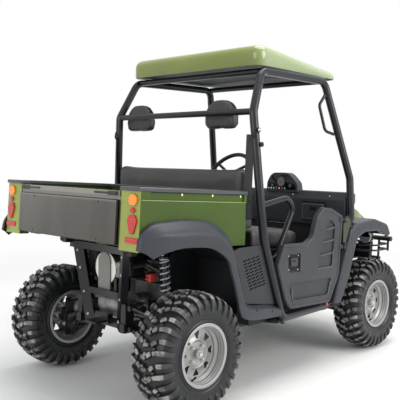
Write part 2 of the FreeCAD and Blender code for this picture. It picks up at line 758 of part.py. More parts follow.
def driveline():
    """Engine, gearboxes and exhaust, each at its real place."""
    block = box(330, 640, -130, 130, 300, 560)
    barrel = rod(vec(300, 0, 560), vec(300, 0, 700), 62)
    fins = [rod(vec(300, 0, 580 + 24 * i), vec(300, 0, 588 + 24 * i), 82) for i in range(5)]
    lower = box(220, 335, -110, 110, 300, 575)
    cover = rod(vec(430, 130, 450), vec(430, 168, 450), 90)
    foot_z = RAIL_Z + 20 + SEAT_GAP
    feet = [box(256, 284, y - 20, y + 20, foot_z, 310) for y in (-70, 70)]
    feet += [box(600, 712, y - 20, y + 20, foot_z, 312) for y in (-70, 70)]
    engine = fuse([block, lower, barrel, cover] + fins + feet)
    write("engine", engine)
    rear_case = rod(vec(0, -95, REAR_CASE_Z), vec(0, 95, REAR_CASE_Z), 78)
    rear_outputs = rod(vec(0, -REAR_CASE_Y, REAR_CASE_Z), vec(0, REAR_CASE_Y, REAR_CASE_Z), 38)
    rear_nose = rod(vec(60, 0, REAR_CASE_Z), vec(200, 0, REAR_CASE_Z), 40)
    front_case = rod(vec(WHEELBASE, -FRONT_CASE_Y, TYRE_R), vec(WHEELBASE, FRONT_CASE_Y, TYRE_R), 68)
    shaft = rod(vec(640 + SEAT_GAP, 0, TYRE_R), vec(WHEELBASE - 60, 0, TYRE_R), 16)
    hold_y = RAIL_Y - RAIL_W / 2 - SEAT_GAP
    rear_hold = box(30, 60, -hold_y, hold_y, REAR_RAIL_Z - 10, REAR_RAIL_Z + 22)
    front_hold = box(WHEELBASE - 57, WHEELBASE - 35, -hold_y, hold_y, 255, 282)
    front_end = fuse([front_case, shaft, front_hold])
    rear_end = fuse([rear_case, rear_outputs, rear_nose, rear_hold])
    write("gearboxes", Part.makeCompound(rear_end.Solids + front_end.Solids))
    can = rod(vec(MUFFLER_X, MUFFLER_Y, MUFFLER_Z), vec(40, MUFFLER_Y, MUFFLER_Z), MUFFLER_R)
    pipe = bent_tube([vec(20, -40, 690), vec(150, -60, 700), vec(226, -150, 640), vec(300, -150, 600),
                      vec(300, -30, 600)], 19, 24)
    write("muffler", fuse([can, pipe.cut(engine)]))


# Cab structure


def cage_side():
    """One closed hoop: sill, rear post, roof rail and front post."""
    # x, y, z of each bend's corner
    rows = (
        (700, 655, 392), (524, 655, 872), (506, 650, 1020), (478, 604, 1600),
        (600, 558, ROOF_Z - TUBE_R), (1300, 522, ROOF_Z - TUBE_R),
        (1466, 625, 1207), (1462, 640, 950), (1372, 612, 760), (1232, 618, 392),
    )
    return bent_tube([vec(*row) for row in rows], TUBE_R, 70, closed=True)


def cage():
    side = CAGE_SIDE
    bars = [
        rod(vec(HEADREST_BAR_X, -600, HEADREST_BAR_Z), vec(HEADREST_BAR_X, 600, HEADREST_BAR_Z),
            CROSSBAR_R),
        rod(vec(620, -560, ROOF_Z - TUBE_R), vec(620, 560, ROOF_Z - TUBE_R), CROSSBAR_R),
        rod(vec(1290, -525, ROOF_Z - TUBE_R), vec(1290, 525, ROOF_Z - TUBE_R), CROSSBAR_R),
    ]
    both = [side, mirror(side)]
    crossings = [bar_piece.cut(both).Solids[0] for bar_piece in bars]
    write("cage_left", side.cut(FRAME).Solids[0])
    write("cage_right", mirror(side).cut(FRAME).Solids[0])
    write("cage_bars", Part.makeCompound(crossings))
    hoop_points = [vec(510, 646, 1062), vec(760, 634, 1098), vec(838, 630, 1040), vec(668, 630, 752),
                   vec(570, 638, 735)]
    hoop = bent_tube(hoop_points, 16, 50).cut(side)
    hoop_piece = max(hoop.Solids, key=lambda s: s.Volume)
    write("hip_hoops", pair(hoop_piece))
    handle = bent_tube([vec(1318, 532, 1780), vec(1250, 520, 1690), vec(1285, 545, 1520),
                        vec(1362, 562, 1500)],
                       10, 40).cut(side)
    grip = max(handle.Solids, key=lambda s: s.Volume)
    write("grab_handle", mirror(grip))


def roof():
    """Moulded roof, narrower to the front, with a hollow ribbed underside."""
    # x, half width at the skirt, skirt z, shoulder z
    rows = (
        (560.0, 579.0, ROOF_Z + 5, 2000.0), (600.0, 577.0, ROOF_Z + 5, 2012.0),
        (1000.0, 545.0, ROOF_Z + 2, 2012.0),
        (1380.0, 513.0, ROOF_Z, 1950.0), (1476.0, 505.0, ROOF_Z, 1902.0),
    )
    inner_rows = (
        (574.0, 563.0, ROOF_Z - 5, 1984.0), (600.0, 562.0, ROOF_Z - 5, 1998.0),
        (1000.0, 531.0, ROOF_Z - 5, 1998.0),
        (1380.0, 499.0, ROOF_Z - 5, 1936.0), (1460.0, 492.0, ROOF_Z - 5, 1892.0),
    )

    def section(x, half, low, high):
        corners = [(-half, low, 0), (-half + 14, high - 12, 40), (-half * 0.5, high + 4, 0),
                   (half * 0.5, high + 4, 0),
                   (half - 14, high - 12, 40), (half, low, 0)]
        return outline(corners, lambda p: vec(x, p.x, p.y)).OuterWire

    def plan(x0, half0, x1, half1, bend):
        corners = [(x0, -half0, bend), (x1, -half1, bend), (x1, half1, bend), (x0, half0, bend)]
        return flat_plate(corners, ROOF_Z - 60, 2100)

    outer = Part.makeLoft([section(*row) for row in rows], True, True)
    outer = outer.common(plan(561, 580, 1475, 507, 70))
    inner = Part.makeLoft([section(*row) for row in inner_rows], True, True)
    inner = inner.common(plan(575, 566, 1459, 494, 58))
    shell = outer.cut(inner)
    pieces = [shell]
    for y in (-300, -150, 0, 150, 300):
        pieces.append(box(570, 1466, y - 18, y + 18, ROOF_Z + 40, 2100).common(outer))
    for side in (-1, 1):
        for x, y in ((700, 548), (1200, 523)):
            pieces.append(box(x - 30, x + 30, side * y - 14, side * y + 14, ROOF_Z + SEAT_GAP,
                              2100).common(outer))
    return fuse(pieces)


def floor_pan():
    """Footwell floor, its raised tunnel and the toe board."""
    floor = box(720, 1440, -582, 582, FLOOR_Z, FLOOR_Z + FLOOR_T)
    sill = box(720, 1160, 576, 588, FLOOR_Z, 420)
    toe = side_plate([(1436, FLOOR_Z, 0), (1450, FLOOR_Z, 0), (1450, 620, 0), (1436, 620, 0)], -270, 270)
    wing = side_plate([(1300, FLOOR_Z + 6, 0), (1312, FLOOR_Z + 6, 0), (1440, 620, 0), (1428, 620, 0)],
                      270, 582)
    bulkhead = side_plate([(1428, 612, 0), (1442, 612, 0), (1484, 866, 0), (1470, 866, 0)], -582, 582)
    pieces = [floor, sill, mirror(sill), toe, wing, mirror(wing), bulkhead]
    return fuse(pieces).cut([FRAME])


def seats():
    low = FLOOR_Z + FLOOR_T
    base_rows = [(500, low, 0), (930, low, 0), (900, 560, 20), (965, seat_pan_z(965), 20),
                 (480, seat_pan_z(480), 10),
                 (450, 560, 0)]
    base = side_plate(base_rows, -SEAT_HALF_W, SEAT_HALF_W)
    inner_rows = [(512, 340, 0), (915, 340, 0), (886, 560, 14), (948, seat_pan_z(948) - 12, 14),
                  (492, seat_pan_z(492) - 12, 8), (462, 560, 0)]
    hollow = side_plate(inner_rows, -SEAT_HALF_W + 12, SEAT_HALF_W - 12)
    base = base.cut(hollow).cut([FRAME, ENGINE_SPACE])
    write("seat_base", fuse(base.Solids))
    cushion_rows = [(520, seat_pan_z(520) + SEAT_GAP, 20), (985, seat_pan_z(985) + SEAT_GAP, 30),
                    (1000, 880, 40),
                    (620, CUSHION_TOP, 60), (520, CUSHION_TOP, 8)]
    write("seat_cushion", side_plate(cushion_rows, -SEAT_HALF_W, SEAT_HALF_W))
    back_low = CUSHION_TOP + SEAT_GAP
    back_rows = [(470, back_low, 20), (556, back_low, 20), (520, 1288, 34), (436, 1282, 30),
                 (440, 1100, 0)]
    back_face = [(-SEAT_HALF_W, back_low - 1, 0), (SEAT_HALF_W, back_low - 1, 0), (SEAT_HALF_W, 1290, 60),
                 (-SEAT_HALF_W, 1290, 60)]
    back = side_plate(back_rows, -SEAT_HALF_W, SEAT_HALF_W)
    write("seat_back", back.common(cross_plate(back_face, 400, 600)))
    pads = []
    face = HEADREST_BAR_X + CROSSBAR_R + SEAT_GAP
    for y in (-308, 440):
        pad = cross_plate([(y - 124, 1504, 50), (y + 124, 1504, 50), (y + 124, 1688, 110),
                           (y - 124, 1688, 110)],
                          face + 4, 562)
        plate = box(face, face + 6, y - 60, y + 60, HEADREST_BAR_Z - 30, HEADREST_BAR_Z + 30)
        pads.append(fuse([pad, plate]))
    write("headrests", Part.makeCompound(pads))


def seat_pan_z(x):
    """Top of the seat base, which falls a little to the front."""
    return 800 - (x - 480) * 0.0412


def dash():
    """Dashboard shell with the glovebox pocket and the domed gauge pod."""
    rows = [(1440, 880, 12), (1452, 870, 0), (1486, 870, 0), (1486, 960, 0), (DASH_FRONT_X, 1040, 0),
            (DASH_FRONT_X, 1098, 0),
            (1470, 1115, 24), (1436, 1060, 20)]
    shell = side_plate(rows, -DASH_HALF_W, DASH_HALF_W)
    shell = shell.common(flat_plate([(1420, -DASH_HALF_W, 40), (1700, -DASH_HALF_W, 0),
                                     (1700, DASH_HALF_W, 0),
                                     (1420, DASH_HALF_W, 40)], 800, 1200))
    pod_rows = [(-212, 1095, 0), (72, 1095, 0), (64, 1165, 60), (22, 1232, 70), (-128, 1232, 80),
                (-204, 1160, 60)]
    pod = cross_plate(pod_rows, 1446, 1508)
    pocket = box(1400, 1480, POCKET_Y0, POCKET_Y1, 905, 1035)
    shroud = rod(steering_centre() - steering_axis() * 100,
                 steering_centre() - steering_axis() * (COLUMN_LEN - 5), 44)
    return fuse([shell, pod, shroud]).cut([pocket, COLUMN, CAGE_SIDE, mirror(CAGE_SIDE)])


def dash_group():
    write("dash", dash())
    lid = box(1428, 1437, POCKET_Y0 + MOVE_GAP, POCKET_Y1 - MOVE_GAP, 912, 1029)
    hinge = rod(vec(1438, POCKET_Y0 + SEAT_GAP, 912), vec(1438, POCKET_Y1 - SEAT_GAP, 912), 4)
    write("glovebox_lid", fuse([lid, hinge]))


def hood_solid(inset, drop):
    """Filled hood; its hollow is the same form, inset and with its edge dropped."""
    # x, half width, z of the edge, z of the crown
    rows = ((DASH_FRONT_X + SEAT_GAP, 470, 930, 1085), (1880, 440, 880, 1005), (2130, 380, 800, 905),
            (2270, 330, 700, 800))
    wires = []
    for x, half, low, high in rows:
        half -= inset
        high -= inset
        low -= drop
        points = [vec(x, -half, low), vec(x, -half + 12, high - 40), vec(x, -half + 90, high),
                  vec(x, half - 90, high),
                  vec(x, half - 12, high - 40), vec(x, half, low)]
        wires.append(Part.makePolygon(points + [points[0]]))
    return Part.makeLoft(wires, True, True)


def hood_group():
    """Hood, front fascia and lamps."""
    solid = HOOD_SOLID
    write("hood", solid.cut(hood_solid(8, 60)))
    face = side_plate([(2240, 560, 10), (2276, 560, 10), (2300, 690, 20), (2278, 696, 0),
                       (2250, 690, 0)], -325, 325)
    slots = [box(2200, 2320, -220, 220, 590 + 26 * i, 602 + 26 * i) for i in range(4)]
    ledge = box(1990, 2250, -240, 240, 560, 572)
    write("front_panel", fuse([face.cut(slots), ledge]).cut([FRAME]))
    lamp = rod(vec(2230, 290, 730), vec(2284, 290, 730), 50)
    write("headlamps", pair(lamp.cut([solid, face])))


def front_guard():
    """Tubular bumper: top bar with capped ends, lower bar and a grid."""
    low_x = GUARD_X - 16
    mid_x = GUARD_X - 8
    top = rod(vec(GUARD_X, -455, 718), vec(GUARD_X, 455, 718), GUARD_R)
    low = rod(vec(low_x, -365, 560), vec(low_x, 365, 560), 16)
    pieces = [top, low]
    for y in (-352, -211, -70, 70, 211, 352):
        pieces.append(rod(vec(low_x, y, 560), vec(GUARD_X, y, 718), 9))
    for side in (-1, 1):
        pieces.append(bar(vec(FRAME_FRONT_X + 2, side * RAIL_Y, 276), vec(low_x, side * RAIL_Y, 560), 14,
                          40))
        for z in (640, 680):
            pieces.append(bent_tube([vec(FRAME_FRONT_X - 30, side * 255, z),
                                     vec(FRAME_FRONT_X + 50, side * 430, z),
                                     vec(mid_x, side * 430, z), vec(mid_x, side * 352, z)], 7, 30))
        pieces.append(rod(vec(mid_x, side * 430, 625), vec(GUARD_X - 2, side * 430, 718), 9))
    return fuse(pieces).cut(FRAME)


def eased(solid, y, radius):
    """Solid with the edges of its outer side, at y, rounded."""
    edges = [e for e in solid.Edges if all(abs(v.Point.y - y) < 1e-4 for v in e.Vertexes)]
    return solid.makeFillet(radius, edges)


def flare_plan(inset):
    """Rear flare seen from above: its tail sweeps in to the bed's corner."""
    corners = [(-420, 600, 0), (700, 600, 0), (700, FLARE_OUT_Y - inset, 0),
               (-235, FLARE_OUT_Y - inset, 160),
               (-402 + inset, 644 - inset, 0), (-420, 620, 0)]
    return flat_plate(corners, 380, 1040)


def sloped_band(edge, crease, out_y, in_y, drop):
    """Band with a flat strip by the body, then a sloping face from its edge out to its crease."""
    ridge_y = 642.0 - drop
    first = outline(edge, lambda p: vec(p.x, ridge_y, p.y)).OuterWire
    last = outline(crease, lambda p: vec(p.x, out_y, p.y)).OuterWire
    return fuse([side_plate(edge, in_y, ridge_y), Part.makeLoft([first, last], True, True)])


def panels():
    """Fenders, flares, vent panels and the narrow cowl panels."""
    fender_rows = [
        (1206, 404, 16), (1290, 398, 16), (1395, 570, 0), (1440, 690, 0), (1487, 806, 60),
        (1593, 844, 60),
        (1778, 842, 60), (1890, 790, 0), (1925, 806, 12), (1880, 880, 60), (1710, 926, 100),
        (1500, 906, 90),
        (1404, 860, 60), (1330, 700, 0),
    ]
    skirt = eased(side_plate(fender_rows, 648, 684), 684, 14)
    hollow = [
        (1220, 380, 0), (1276, 380, 0), (1386, 574, 0), (1431, 694, 0), (1480, 812, 54), (1590, 852, 54),
        (1781, 850, 54), (1884, 790, 0), (1910, 800, 0), (1872, 873, 50), (1708, 918, 90),
        (1503, 898, 80),
        (1411, 852, 50), (1338, 698, 0),
    ]
    skirt = skirt.cut(side_plate(hollow, 640, 676))
    top_rows = [(1492, 890, 0), (1500, 906, 0), (1710, 926, 60), (1880, 880, 40), (1925, 806, 0),
                (1915, 800, 0),
                (1872, 870, 40), (1708, 917, 60), (1502, 897, 0), (1494, 888, 0)]
    top = side_plate(top_rows, 430, 652).cut(HOOD_SOLID)
    top = max(top.Solids, key=lambda s: s.BoundBox.YMax)
    write("front_fenders", pair(fuse([skirt, top]).cut([CAGE_SIDE, FRAME])))
    cowl = side_plate([(1322, 700, 10), (1326, 966, 14), (1470, 928, 40), (1395, 880, 0),
                       (1345, 760, 0)], 660, 672)
    clip = box(1350, 1381, 622, 661, 815, 835)
    write("cowl_panels", pair(fuse([cowl, clip]).cut(CAGE_SIDE)))
    outer = [
        (-406, 880, 20), (-380, 950, 40), (-312, 1004, 80), (-92, 1016, 200), (110, 992, 120),
        (248, 900, 80),
        (262, 822, 0), (306, 693, 0), (358, 530, 60), (560, 494, 20), (640, 470, 0), (650, 416, 10),
        (314, 436, 20),
        (235, 650, 0), (194, 782, 60), (76, 855, 150), (-70, 874, 300), (-206, 876, 120), (-330, 836, 10),
    ]
    inner = [
        (-392, 882, 10), (-372, 944, 34), (-309, 997, 74), (-92, 1009, 190), (108, 985, 114),
        (241, 897, 74),
        (255, 820, 0), (299, 691, 0), (352, 523, 54), (560, 487, 14), (632, 465, 0), (640, 424, 0),
        (322, 443, 12),
        (243, 652, 0), (201, 786, 66), (79, 862, 156), (-70, 881, 300), (-208, 883, 120), (-330, 844, 0),
    ]
    crease = [
        (-372, 868, 16), (-344, 906, 30), (-290, 946, 60), (-94, 956, 190), (92, 934, 110),
        (212, 864, 60),
        (230, 806, 0), (272, 690, 0), (330, 508, 50), (556, 474, 18), (638, 456, 0), (650, 416, 10),
        (314, 436, 20),
        (235, 650, 0), (194, 782, 60), (76, 855, 150), (-70, 874, 300), (-206, 876, 120), (-330, 836, 10),
    ]
    inner_crease = [
        (-362, 868, 8), (-336, 900, 24), (-287, 939, 54), (-94, 949, 184), (90, 927, 104), (206, 860, 54),
        (223, 804, 0), (265, 688, 0), (324, 501, 44), (554, 467, 12), (630, 450, 0), (640, 424, 0),
        (322, 443, 12),
        (243, 652, 0), (201, 786, 66), (79, 862, 156), (-70, 881, 300), (-208, 883, 120), (-330, 844, 0),
    ]
    band = sloped_band(outer, crease, FLARE_OUT_Y, FLARE_IN_Y, 0).common(flare_plan(0))
    hollow = sloped_band(inner, inner_crease, FLARE_OUT_Y - SKIN, FLARE_IN_Y - 5, 4)
    band = band.cut(hollow.common(flare_plan(SKIN)))
    write("rear_flares", pair(band))
    vent = side_plate([(324, 836, 6), (510, 836, 6), (520, 820, 0), (658, 480, 0), (372, 522, 0),
                       (322, 696, 0),
                       (272, 822, 0)], 640, 650)
    slots = []
    for row in range(VENT_ROWS):
        for column in range(VENT_COLUMNS):
            x = 350 + row * 7 + column * 37
            z = 750 - row * 18 + column * 5
            slots.append(side_plate([(x, z, 0), (x + 28, z + 10, 0), (x + 28, z + 19, 0), (x, z + 9, 0)],
                                    630, 660))
    vent = max(vent.cut(slots + [band, CAGE_SIDE]).Solids, key=lambda s: s.Volume)
    write("vent_panels", pair(vent))
    liner = side_plate([(336, 366, 0), (344, 366, 0), (344, 752, 0), (232, 830, 0), (226, 824, 0),
                        (336, 748, 0)],
                       310, FLARE_IN_Y - SEAT_GAP)
    inner_side = side_plate([(110, 474, 30), (344, 474, 0), (344, 752, 0), (300, 792, 0),
                             (110, 792, 40)], 306, 312)
    write("wheel_liners", pair(fuse([liner, inner_side])))


def door():
    """Half door: one moulded panel with its recesses and hinge knuckles."""
    rows = [
        (621, 708, 14), (694, 508, 60), (744, 441, 60), (1162, 427, 30), (1262, 590, 160), (1297, 930, 0),
        (1297, 968, 8), (1168, 1022, 40), (1084, 1031, 34), (1012, 978, 60), (966, 852, 60),
        (900, 822, 30),
        (680, 829, 10),
    ]
    panel = side_plate(rows, DOOR_OUT_Y - DOOR_T, DOOR_OUT_Y)
    depth = 9.0
    recesses = (
        [(724, 596, 14), (1176, 580, 14), (1146, 470, 30), (766, 482, 30)],
        [(1128, 944, 16), (1168, 946, 10), (1212, 912, 10), (1186, 650, 12), (1012, 650, 12)],
        [(724, 770, 12), (846, 764, 12), (842, 652, 12), (726, 660, 12)],
    )
    for recess in recesses:
        panel = panel.cut(side_plate(recess, DOOR_OUT_Y - depth, DOOR_OUT_Y + 5))
    louvres = []
    for z in (892, 814, 733):
        louvres.append(side_plate([(1040, z - 16, 0), (1230, z - 2, 0), (1230, z + 14, 0), (1040, z, 0)],
                                  DOOR_OUT_Y - depth - 1, DOOR_OUT_Y - 2))
    room = side_plate(recesses[1], DOOR_OUT_Y - depth - 2, DOOR_OUT_Y)
    louvres = [rib.common(room) for rib in louvres]
    handle = side_plate([(752, 742, 8), (822, 738, 8), (820, 690, 8), (754, 694, 8)],
                        DOOR_OUT_Y - depth - 1, DOOR_OUT_Y - 1)
    lip = side_plate([(766, 482, 0), (1146, 470, 0), (1146, 479, 0), (766, 491, 0)],
                     DOOR_OUT_Y - depth - 1,
                     DOOR_OUT_Y + 4)
    knuckles = louvres + [handle, lip]
    for z in hinge_heights():
        knuckles.append(rod(vec(HINGE_X, HINGE_Y, z - 12), vec(HINGE_X, HINGE_Y, z + 12), 8))
        knuckles.append(box(1262, HINGE_X - 2, DOOR_OUT_Y - 4, DOOR_OUT_Y + 5, z - 12, z + 12))
    whole = fuse([panel] + knuckles)
    for z in hinge_heights():
        whole = whole.cut(rod(vec(HINGE_X, HINGE_Y, z - 30), vec(HINGE_X, HINGE_Y, z + 30),
                              HINGE_PIN_R + PIN_GAP))
    return whole


def hinge_heights():
    return (768.0, 944.0)


def door_hinges():
    """Body side of the hinges: pin, two ears and the leaf on the cowl panel."""
    pieces = []
    for z in hinge_heights():
        pin = rod(vec(HINGE_X, HINGE_Y, z - 22), vec(HINGE_X, HINGE_Y, z + 22), HINGE_PIN_R)
        ears = []
        for low in (z - 21, z + 13):
            ears.append(rod(vec(HINGE_X, HINGE_Y, low), vec(HINGE_X, HINGE_Y, low + 8), 8))
            ears.append(box(HINGE_X, HINGE_X + 30, 678, HINGE_Y + 4, low, low + 8))
        leaf = box(HINGE_X + 14, HINGE_X + 34, 672, 680, z - 21, z + 21)
        pieces.append(fuse([pin, leaf] + ears))
    return pieces


# Cargo bed


def bed():
    """Tray with double side walls, a front wall and two rear corner posts."""
    tray = [bed_block(36, BED_LEN, -BED_HALF_W, BED_HALF_W, 0, BED_FLOOR)]
    tray.append(bed_block(BED_LEN - BED_WALL, BED_LEN, -BED_HALF_W, BED_HALF_W, 0, BED_TOP))
    for side in (-1, 1):
        y0, y1 = sorted((side * BED_HALF_W, side * (BED_HALF_W - BED_WALL)))
        tray.append(bed_block(0, BED_LEN, y0, y1, 0, BED_CREASE))
        y0, y1 = sorted((side * (BED_HALF_W - 8), side * (BED_HALF_W - BED_WALL)))
        tray.append(bed_block(0, BED_LEN, y0, y1, BED_CREASE, BED_TOP))
        y0, y1 = sorted((side * POST_IN_Y, side * BED_HALF_W))
        tray.append(bed_block(0, POST_DEPTH, y0, y1, -14, BED_TOP))
        ear_y = side * (DECK_Y + 32)
        tip_u = (TIP_X - BED_X) / cos(radians(BED_PITCH))
        ear = bed_block(tip_u - 16, tip_u + 16, ear_y - 6, ear_y + 6, -TIP_DROP - 2, 2)
        boss = rod(level_bed(tip_u, ear_y - 6, -TIP_DROP), level_bed(tip_u, ear_y + 6, -TIP_DROP), 16)
        tray += [ear, boss]
        for y in (side * 290, side * 350):
            tray.append(rod(level_bed(GATE_HINGE, y - 8, GATE_HINGE),
                            level_bed(GATE_HINGE, y + 8, GATE_HINGE), 9))
            tray.append(bed_block(GATE_HINGE, 40, y - 8, y + 8, 0, 18))
        tray.append(rod(level_bed(GATE_HINGE, side * 320 - 36, GATE_HINGE),
                        level_bed(GATE_HINGE, side * 320 + 36, GATE_HINGE), GATE_PIN_R))
    for i in range(9):
        y = -460 + 115 * i
        tray.append(bed_block(60, BED_LEN - BED_WALL, y - 20, y + 20, BED_FLOOR - 1, BED_FLOOR + 7))
    whole = fuse(tray)
    bores = []
    for side in (-1, 1):
        tip_u = (TIP_X - BED_X) / cos(radians(BED_PITCH))
        bores.append(rod(level_bed(tip_u, side * (DECK_Y + 20), -TIP_DROP),
                         level_bed(tip_u, side * (DECK_Y + 48), -TIP_DROP), TIP_PIN_R + PIN_GAP))
    return pitched(whole.cut(bores))


def bed_rails():
    """Bright rail along the tops of the side and front walls."""
    rails = []
    for side in (-1, 1):
        y0, y1 = sorted((side * (BED_HALF_W + 2), side * (BED_HALF_W - 40)))
        rails.append(bed_block(-4, BED_LEN + 6, y0, y1, BED_TOP, BED_TOP + RAIL_TOP_H))
        y0, y1 = sorted((side * POST_IN_Y, side * (BED_HALF_W + 2)))
        rails.append(bed_block(-12, POST_DEPTH - 10, y0, y1, BED_TOP, BED_TOP + RAIL_TOP_H))
    rails.append(bed_block(BED_LEN - 36, BED_LEN + 6, -BED_HALF_W - 2, BED_HALF_W + 2, BED_TOP,
                           BED_TOP + RAIL_TOP_H))
    return pitched(fuse(rails))


def tailgate():
    """Pressed gate between the posts, with knuckles round the hinge pins."""
    half = POST_IN_Y - MOVE_GAP
    panel = bed_block(2, GATE_T, -half, half, 6, BED_TOP - 6)
    panel = fuse([panel, bed_block(-8, GATE_T, -half, half, BED_TOP - 30, BED_TOP - 4)])
    for side in (-1, 1):
        mid = side * 320
        panel = panel.cut(bed_block(-10, GATE_T + 5, mid - 46, mid + 46, 0, 28))
        knuckle = rod(level_bed(GATE_HINGE, mid - 16, GATE_HINGE),
                      level_bed(GATE_HINGE, mid + 16, GATE_HINGE), 9)
        web = bed_block(4, 20, mid - 16, mid + 16, GATE_HINGE, 32)
        panel = fuse([panel, knuckle, web])
        panel = panel.cut(rod(level_bed(GATE_HINGE, mid - 60, GATE_HINGE),
                              level_bed(GATE_HINGE, mid + 60, GATE_HINGE),
                              GATE_PIN_R + PIN_GAP))
    return pitched(panel)


def gate_latches():
    """Lever handle and knob at each top corner of the gate."""
    half = POST_IN_Y - MOVE_GAP
    plate = bed_block(-12, -8, half - 90, half - 8, BED_TOP - 28, BED_TOP - 6)
    lever = bed_block(-16, -12, half - 200, half - 20, BED_TOP - 22, BED_TOP - 12)
    knob = rod(level_bed(-12, half - 30, BED_TOP - 17), level_bed(-16, half - 30, BED_TOP - 17), 10)
    return pair(pitched(fuse([plate, lever, knob])))


def lamps():
    """Lamps on the rear posts: amber above, long red below, red reflector."""
    y = (POST_IN_Y + BED_HALF_W) / 2 + 24
    amber_rows = [(y - 30, 228, 0), (y - 30, 252, 0), (y - 14, 268, 0), (y + 14, 268, 0),
                  (y + 30, 252, 0),
                  (y + 30, 228, 0), (y + 14, 212, 0), (y - 14, 212, 0)]
    write("turn_lamps", pair(pitched(lamp_lens(amber_rows))))
    lozenge = [(y - 22, 188, 4), (y, 204, 8), (y + 22, 188, 4), (y, 174, 8)]
    kite = [(y - 36, 136, 8), (y - 20, 166, 8), (y + 20, 166, 8), (y + 36, 136, 8), (y + 12, 72, 10),
            (y - 12, 72, 10)]
    plate = bed_block(-8, -SEAT_GAP, y - 48, y + 46, 26, 54)
    write("tail_lamps", pair(pitched(Part.makeCompound([lamp_lens(lozenge), lamp_lens(kite), plate]))))


def lamp_lens(corners):
    """Flat lens on the bed's rear post, from an outline of its height and width."""
    return outline(corners, lambda p: level_bed(-12, p.x, p.y)).extrude(vec(12 - SEAT_GAP, 0, 0))


def controls():
    """Pedals on the toe board and the gear lever beside the seat."""
    solids = []
    for y in (250, 360):
        pad = bar(vec(1340, y, 440), vec(1356, y, 500), 60, 10)
        stem = rod(vec(1350, y, 470), vec(1400, y, 556), 8)
        solids.append(fuse([pad, stem]))
    lever = fuse([rod(vec(1060, 40, FLOOR_Z + FLOOR_T + SEAT_GAP), vec(1080, 40, 700), 9),
                  Part.makeSphere(24, vec(1080, 40, 710))])
    solids.append(lever)
    floor = floor_pan()
    write("controls", Part.makeCompound([piece.cut(floor) for piece in solids]))


LADDER = ladder()
REAR_FRAME = rear_subframe()
FRONT_FRAME = front_subframe()
FRAME = Part.makeCompound([LADDER, REAR_FRAME, FRONT_FRAME])
HOOD_SOLID = hood_solid(0, 0)
CAGE_SIDE = cage_side()
ENGINE_SPACE = box(200, 660, -180, 180, 300, 720)
COLUMN = rod(steering_centre() - steering_axis() * 40,
             steering_centre() - steering_axis() * (COLUMN_LEN + SEAT_GAP),
             COLUMN_R + SEAT_GAP)

write("frame", LADDER)
write("rear_subframe", REAR_FRAME)
write("front_subframe", FRONT_FRAME)
wheels()
suspension()
steering()
driveline()
cage()
write("roof", roof())
write("floor_pan", floor_pan())
seats()
dash_group()
hood_group()
write("front_guard", front_guard())
panels()
left_door = door()
write("door_left", left_door)
write("door_right", mirror(left_door))
hinges = door_hinges()
write("door_hinges", Part.makeCompound([s for h in hinges for s in pair(h).Solids]))
write("bed", bed())
write("bed_rails", bed_rails())
write("tailgate", tailgate())
write("gate_latches", gate_latches())
lamps()
controls()
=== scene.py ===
"""Looks of the side by side utility vehicle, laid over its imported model.

Sizes in this file are millimetres measured from the rear axle, as the vehicle
is drawn: +X to the front, +Y to the left, +Z up from the ground. at() turns
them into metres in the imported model's frame.
"""
import json
from math import acos, cos, pi, radians, sin, tan

import bmesh
import bpy
import numpy as np
from mathutils import Matrix, Vector

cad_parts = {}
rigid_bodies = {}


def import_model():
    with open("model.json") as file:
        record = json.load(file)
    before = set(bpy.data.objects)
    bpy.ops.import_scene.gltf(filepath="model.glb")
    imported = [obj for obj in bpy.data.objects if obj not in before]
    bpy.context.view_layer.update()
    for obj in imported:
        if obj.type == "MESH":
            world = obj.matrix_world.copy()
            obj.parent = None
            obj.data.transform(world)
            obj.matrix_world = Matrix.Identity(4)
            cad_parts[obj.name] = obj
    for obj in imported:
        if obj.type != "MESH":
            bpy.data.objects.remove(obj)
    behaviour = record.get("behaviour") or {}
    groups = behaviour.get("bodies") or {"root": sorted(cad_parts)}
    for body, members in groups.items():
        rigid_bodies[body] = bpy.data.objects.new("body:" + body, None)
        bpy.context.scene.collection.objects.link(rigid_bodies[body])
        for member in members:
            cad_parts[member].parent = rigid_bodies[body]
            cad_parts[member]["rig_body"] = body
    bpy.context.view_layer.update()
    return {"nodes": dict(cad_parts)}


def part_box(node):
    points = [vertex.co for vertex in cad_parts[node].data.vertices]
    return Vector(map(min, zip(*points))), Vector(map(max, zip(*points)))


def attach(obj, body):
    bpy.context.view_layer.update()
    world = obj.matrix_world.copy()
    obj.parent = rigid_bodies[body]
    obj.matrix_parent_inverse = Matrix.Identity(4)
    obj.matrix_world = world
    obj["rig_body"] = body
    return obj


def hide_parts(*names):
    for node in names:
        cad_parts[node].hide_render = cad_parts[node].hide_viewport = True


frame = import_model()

bl_info = {
    "name": "Side by Side Utility Vehicle",
    "version": (1, 0, 0),
    "blender": (4, 5, 0),
    "location": "View3D > Sidebar > Vehicle",
    "description": "Builds the vehicle's detailed pieces, materials, lights and camera",
    "category": "Object",
}

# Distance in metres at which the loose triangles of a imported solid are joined
WELD = 1e-5

# Main sizes, the same as the solids have
WHEELBASE = 1825.0
TYRE_R = 317.0
# radius at which the tread turns down the side wall
SHOULDER_R = 262.0
BEAD_R = 152.4
LIP_R = 166.0
RIM_WALL = 5.0
WELL_R = BEAD_R - 18
DISC_INSET = 62.0
BED_FRONT_X = 407.0
BED_LEN = 787.0
BED_X = BED_FRONT_X - BED_LEN
BED_Z = 882.0
BED_PITCH = radians(2.9)
BED_HALF_W = 615.0
BED_CREASE = 239.0
BED_TOP = 283.0
POST_IN_Y = 466.0
ROOF_REAR_X, ROOF_FRONT_X = 560.5, 1475.5
ROOF_REAR_HALF_W, ROOF_FRONT_HALF_W = 579.5, 506.5
DOOR_SKIN_Y = 682.0
SIDES = (("left", 1), ("right", -1))
# Middle of the vehicle's length from the rear axle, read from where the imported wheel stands
MID_X = -1000.0 * sum(corner.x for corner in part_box("tyre_rear_left")) / 2


